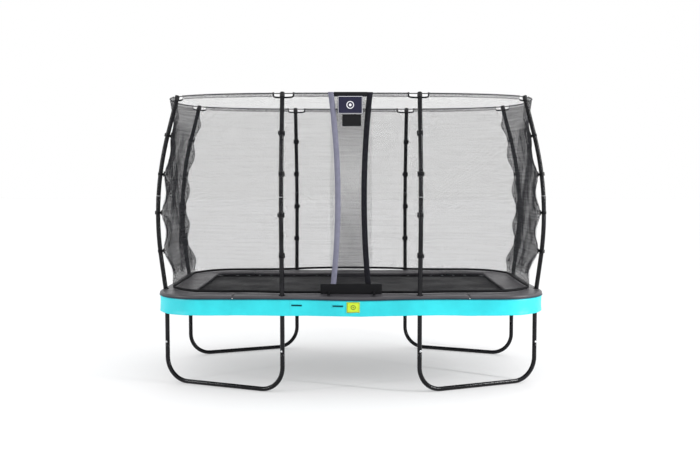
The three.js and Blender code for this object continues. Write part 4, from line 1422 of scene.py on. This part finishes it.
def make_straps():
    """Webbing loops with buckles, which hold the net to the poles."""
    straps, buckles = Shape(), Shape()
    for n, post in enumerate(POSTS):
        for k, z in enumerate(STRAPS_Z):
            lean = pole_lean(z)
            place = post.placed(float(pole_bow(z)), z, lean)
            turns = np.radians(np.linspace(-118, 118, 22))
            loop = [(-0.0345, -0.0045, 0)]
            loop += [(0.0228 * math.cos(t), 0.0228 * math.sin(t), 0) for t in turns]
            loop += [(-0.0345, 0.0045, 0)]
            path = place(np.array(loop))
            upward = place(np.array([[0, 0, 1.0]])) - place(np.array([[0, 0, 0.0]]))
            straps.ribbon(path, np.repeat(upward, len(path), 0), 0.025, 0.0016)
            tab = post.placed(float(pole_bow(z)) - 0.0355, z, lean)
            straps.rounded_box((0.003, 0.056, 0.05), tab, 0.0012)
            side = 1 if (n + k) % 2 else -1
            tilt = side * math.radians(62)
            turn = np.array([[math.cos(tilt), -math.sin(tilt)], [math.sin(tilt), math.cos(tilt)]])

            def beside(shift, place=place, turn=turn):
                def placed(local):
                    flat = (local[..., :2] + [0.0268, shift]) @ turn.T
                    return place(np.concatenate([flat, local[..., 2:]], -1))

                return placed

            buckles.rounded_box((0.0085, 0.026, 0.031), beside(0.0), 0.002)
            for shift in (0.009, -0.009):
                buckles.rounded_box((0.0115, 0.005, 0.034), beside(shift), 0.0018)
    finished(straps, "net_straps", FRAME, "webbing", BLACK_WEB)
    finished(buckles, "strap_buckles", FRAME, "cap_plastic", PLASTIC)


# ---------- entrance ----------

EDGE_AT = {INNER: ([0.9, 1.0, 1.8, 2.6, 2.76], [0.192, 0.186, 0.143, 0.188, 0.2]),
           OUTER: ([0.9, 1.0, 1.8, 2.6, 2.76], [-0.196, -0.19, -0.142, -0.196, -0.21])}
OVERLAP_X = 0.19  # the doors are of doubled net where one lies over the other
POLE_SIDE = {INNER: -1, OUTER: 1}
DOOR_FREE = (0.97, 2.66)  # the heights between which a door can swing
SILL_X, SILL_LOW, SILL_TOP = (-0.28, 0.284), 0.905, 1.0
DOOR_PROUD = {INNER: -LAYER_GAP, OUTER: 0.0}


def edge_x(body, z):
    """Where a door's free edge hangs at height z."""
    heights, places = EDGE_AT[body]
    curve = np.polyfit(heights, places, 2)
    return np.polyval(curve, z)


def front_share(x):
    return (np.asarray(x, float) + SIDE_X) / (2 * SIDE_X)


def door_weights(points, body):
    """How far each point of a door follows its swing: most halfway up the free edge."""
    pole = POLE_SIDE[body] * SIDE_X
    away = np.clip((points[:, 0] - pole) / (edge_x(body, points[:, 2]) - pole), 0, 1)
    up = np.clip((points[:, 2] - DOOR_FREE[0]) / (DOOR_FREE[1] - DOOR_FREE[0]), 0, 1)
    return away**1.4 * np.sin(math.pi * up) ** 0.75


def hang_door(obj, body):
    weights = door_weights(points_of(obj), body)
    bend(obj)


def door_depth(body, t, z):
    """The layer's offset, brought together at the pole, the hem and the sleeve."""
    spread = smooth(0.0, 0.12, np.minimum(t, 1 - t)) * smooth(0.9, 0.99, z) * smooth(2.74, 2.6, z)
    return DOOR_PROUD[body] * np.maximum(spread, 0.3)


def make_door(body, name, node):
    columns, rows = 60, 130
    v = np.linspace(0, 1, rows + 1)[:, None]
    c = np.linspace(0, 1, columns + 1)[None]
    pole = POLE_SIDE[body] * SIDE_X
    x = mix(pole, edge_x(body, mix(NET_FOOT, 2.716, v)), c)
    z = mix(NET_FOOT, FRONT.top(front_share(x)), v)
    x = mix(pole, edge_x(body, z), c)
    t = front_share(x)
    points = FRONT.at(t, z, door_depth(body, t, z))
    uvs = np.stack([points[..., 0], z], -1)
    shape = Shape()
    shape.grid(points, uvs, flip=body == OUTER)
    net = shape.build(name, NET, DOUBLED_NET)
    for face in net.data.polygons:
        face.material_index = int(abs(face.center.x) < OVERLAP_X)
    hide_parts(node)
    hang_door(net, body)


def make_door_band(body, name, web, low, high, width):
    """The webbing sewn over a door's free edge, on both faces."""
    z = np.linspace(low, high, 90)
    inward = POLE_SIDE[body] * width / 2
    shape = Shape()
    for lift in (0.0022, -0.0022):
        centre = edge_x(body, z) + inward
        t = front_share(centre)
        depth = door_depth(body, t, z) + lift
        depth = depth + 0.011 * smooth(2.69, 2.72, z) * np.sign(lift)
        path = FRONT.at(t, z, depth)
        beside = FRONT.at(front_share(centre + 0.01), z, depth)
        shape.ribbon(path, beside - path, width, 0.0014)
    obj = shape.build(name, web)
    hang_door(obj, body)


def front_patch(x, z, proud, thick, steps=(14, 12)):
    """A closed thin sheet that lies in front of the entrance."""
    across = np.linspace(*x, steps[0] + 1)
    up = np.linspace(*reversed(z), steps[1] + 1)
    grids = [FRONT.at(front_share(across)[None] + 0 * up[:, None], up[:, None] + 0 * across[None],
                      proud + d) for d in (thick, 0.0)]
    shape = Shape()
    closed_sheet(shape, grids[0], grids[1], across, up)
    return shape


def make_header():
    strip = front_patch((-0.158, 0.15), (2.718, 2.757), 0.0105, 0.0015)
    finished(strip, "header_strip", FRAME, "sill_fabric", SILL_CLOTH)
    badge = front_patch((-0.123, 0.109), (2.556, 2.722), 0.0125, 0.002)
    finished(badge, "header_badge", FRAME, "badge_fabric", BADGE)
    patch = front_patch((-0.08, 0.092), (2.444, 2.553), 0.008, 0.0015)
    finished(patch, "header_patch", FRAME, "sill_fabric", SILL_CLOTH)


def make_sill():
    """The flap over the entrance's lower edge, with its two short straps."""
    shape = front_patch(SILL_X, (SILL_LOW, SILL_TOP), 0.006, 0.003, steps=(40, 8))
    x = np.linspace(*SILL_X, 50)
    rim = FRONT.at(front_share(x), SILL_TOP + 0 * x, 0.0075)
    shape.tube(rim, 0.0035, 8)
    finished(shape, "sill_flap", FRAME, "sill_fabric", SILL_CLOTH, stands_for=["entry_sill"])
    straps = Shape()
    for x in (-0.203, 0.21):
        path = [(x, -0.985, 0.945), (x, -1.0, 0.925), (x, -1.016, 0.912), (x, -1.05, 0.9105),
                (x, -1.078, 0.909)]
        straps.ribbon(path, np.repeat([[1.0, 0, 0]], len(path), 0), 0.024, 0.0018)
    finished(straps, "sill_straps", FRAME, "webbing", BLACK_WEB)


# ---------- stage ----------

FLOOR_HALF, FLOOR_POINTS = 60, 13
SUN_WIDTH = math.radians(100)
CAMERA_PLACE = (0, -8.7165, 1.9968)
CAMERA_TILT = math.radians(86.65)
SENSOR, LENS, SHIFT = 36, 43.54, -1 / 700


def make_floor():
    shape = Shape()
    across = np.linspace(-FLOOR_HALF, FLOOR_HALF, FLOOR_POINTS)
    points = np.stack([*np.meshgrid(across, across), np.zeros((FLOOR_POINTS, FLOOR_POINTS))], -1)
    shape.grid(points, points[..., :2])
    floor = shape.build("floor", floor_paint())


def lamp_of(name, kind, energy):
    data = bpy.data.lights.new(name, kind)
    data.energy = energy
    return put(name, data)


def area_light(name, place, aim, size, watts):
    lamp = lamp_of(name, "AREA", watts)
    lamp.data.shape = "RECTANGLE"
    lamp.data.size, lamp.data.size_y = size
    lamp.location = place
    lamp.rotation_euler = (Vector(aim) - Vector(place)).to_track_quat("-Z", "Y").to_euler()


def soft_sun(name, turn, strength):
    lamp = lamp_of(name, "SUN", strength)
    lamp.data.angle = SUN_WIDTH
    lamp.rotation_euler = turn


def make_lights():
    world = bpy.data.worlds.new("studio")
    world.use_nodes = True
    background = world.node_tree.nodes["Background"]
    background.inputs["Color"].default_value = (1, 1, 1, 1)
    background.inputs["Strength"].default_value = 1.0
    bpy.context.scene.world = world
    soft_sun("overhead", (math.radians(-28), math.radians(4), 0), 1.1)
    area_light("right_box", (6.5, -3.5, 3.2), (0, 0, 1.4), (0.35, 4), 400)
    area_light("left_box", (-7.0, -4.0, 3.0), (0, 0, 1.4), (0.3, 3.5), 170)


def make_camera():
    data = bpy.data.cameras.new("camera")
    data.sensor_width, data.lens, data.shift_x = SENSOR, LENS, SHIFT
    data.clip_end = 200
    camera = put("camera", data)
    camera.location = CAMERA_PLACE
    camera.rotation_euler = (CAMERA_TILT, 0, 0)
    bpy.context.scene.camera = camera


make_camera()
make_legs()
make_posts()
make_rails()
make_poles()
make_caps()
make_ring()
make_springs()
make_mat_edging()
make_mat()
make_piping()
make_skirt_trim()
make_skirt()
make_pads()
make_hole_bindings()
make_straps()
make_bindings()
for side, panels in (("right", RIGHT), ("left", LEFT), ("back", BACK)):
    make_hem(f"net_{side}_sheet_hem", panels)
    make_sleeve(f"net_{side}_sheet_sleeve", panels)
    make_net(f"net_{side}_sheet", panels, f"net_{side}")
make_hem("net_front_hem", [FRONT])
make_sleeve("net_front_sleeve", [FRONT])
make_door_band(INNER, "door_inner_net_band", DARK_WEB, 1.0, 2.756, 0.052)
make_door_band(OUTER, "door_outer_net_band", LIGHT_WEB, 0.99, 2.756, 0.05)
make_door(INNER, "door_inner_net", "door_left")
make_door(OUTER, "door_outer_net", "door_right")
make_header()
make_sill()
make_floor()
make_lights()

bpy.context.scene.view_settings.view_transform = "Standard"
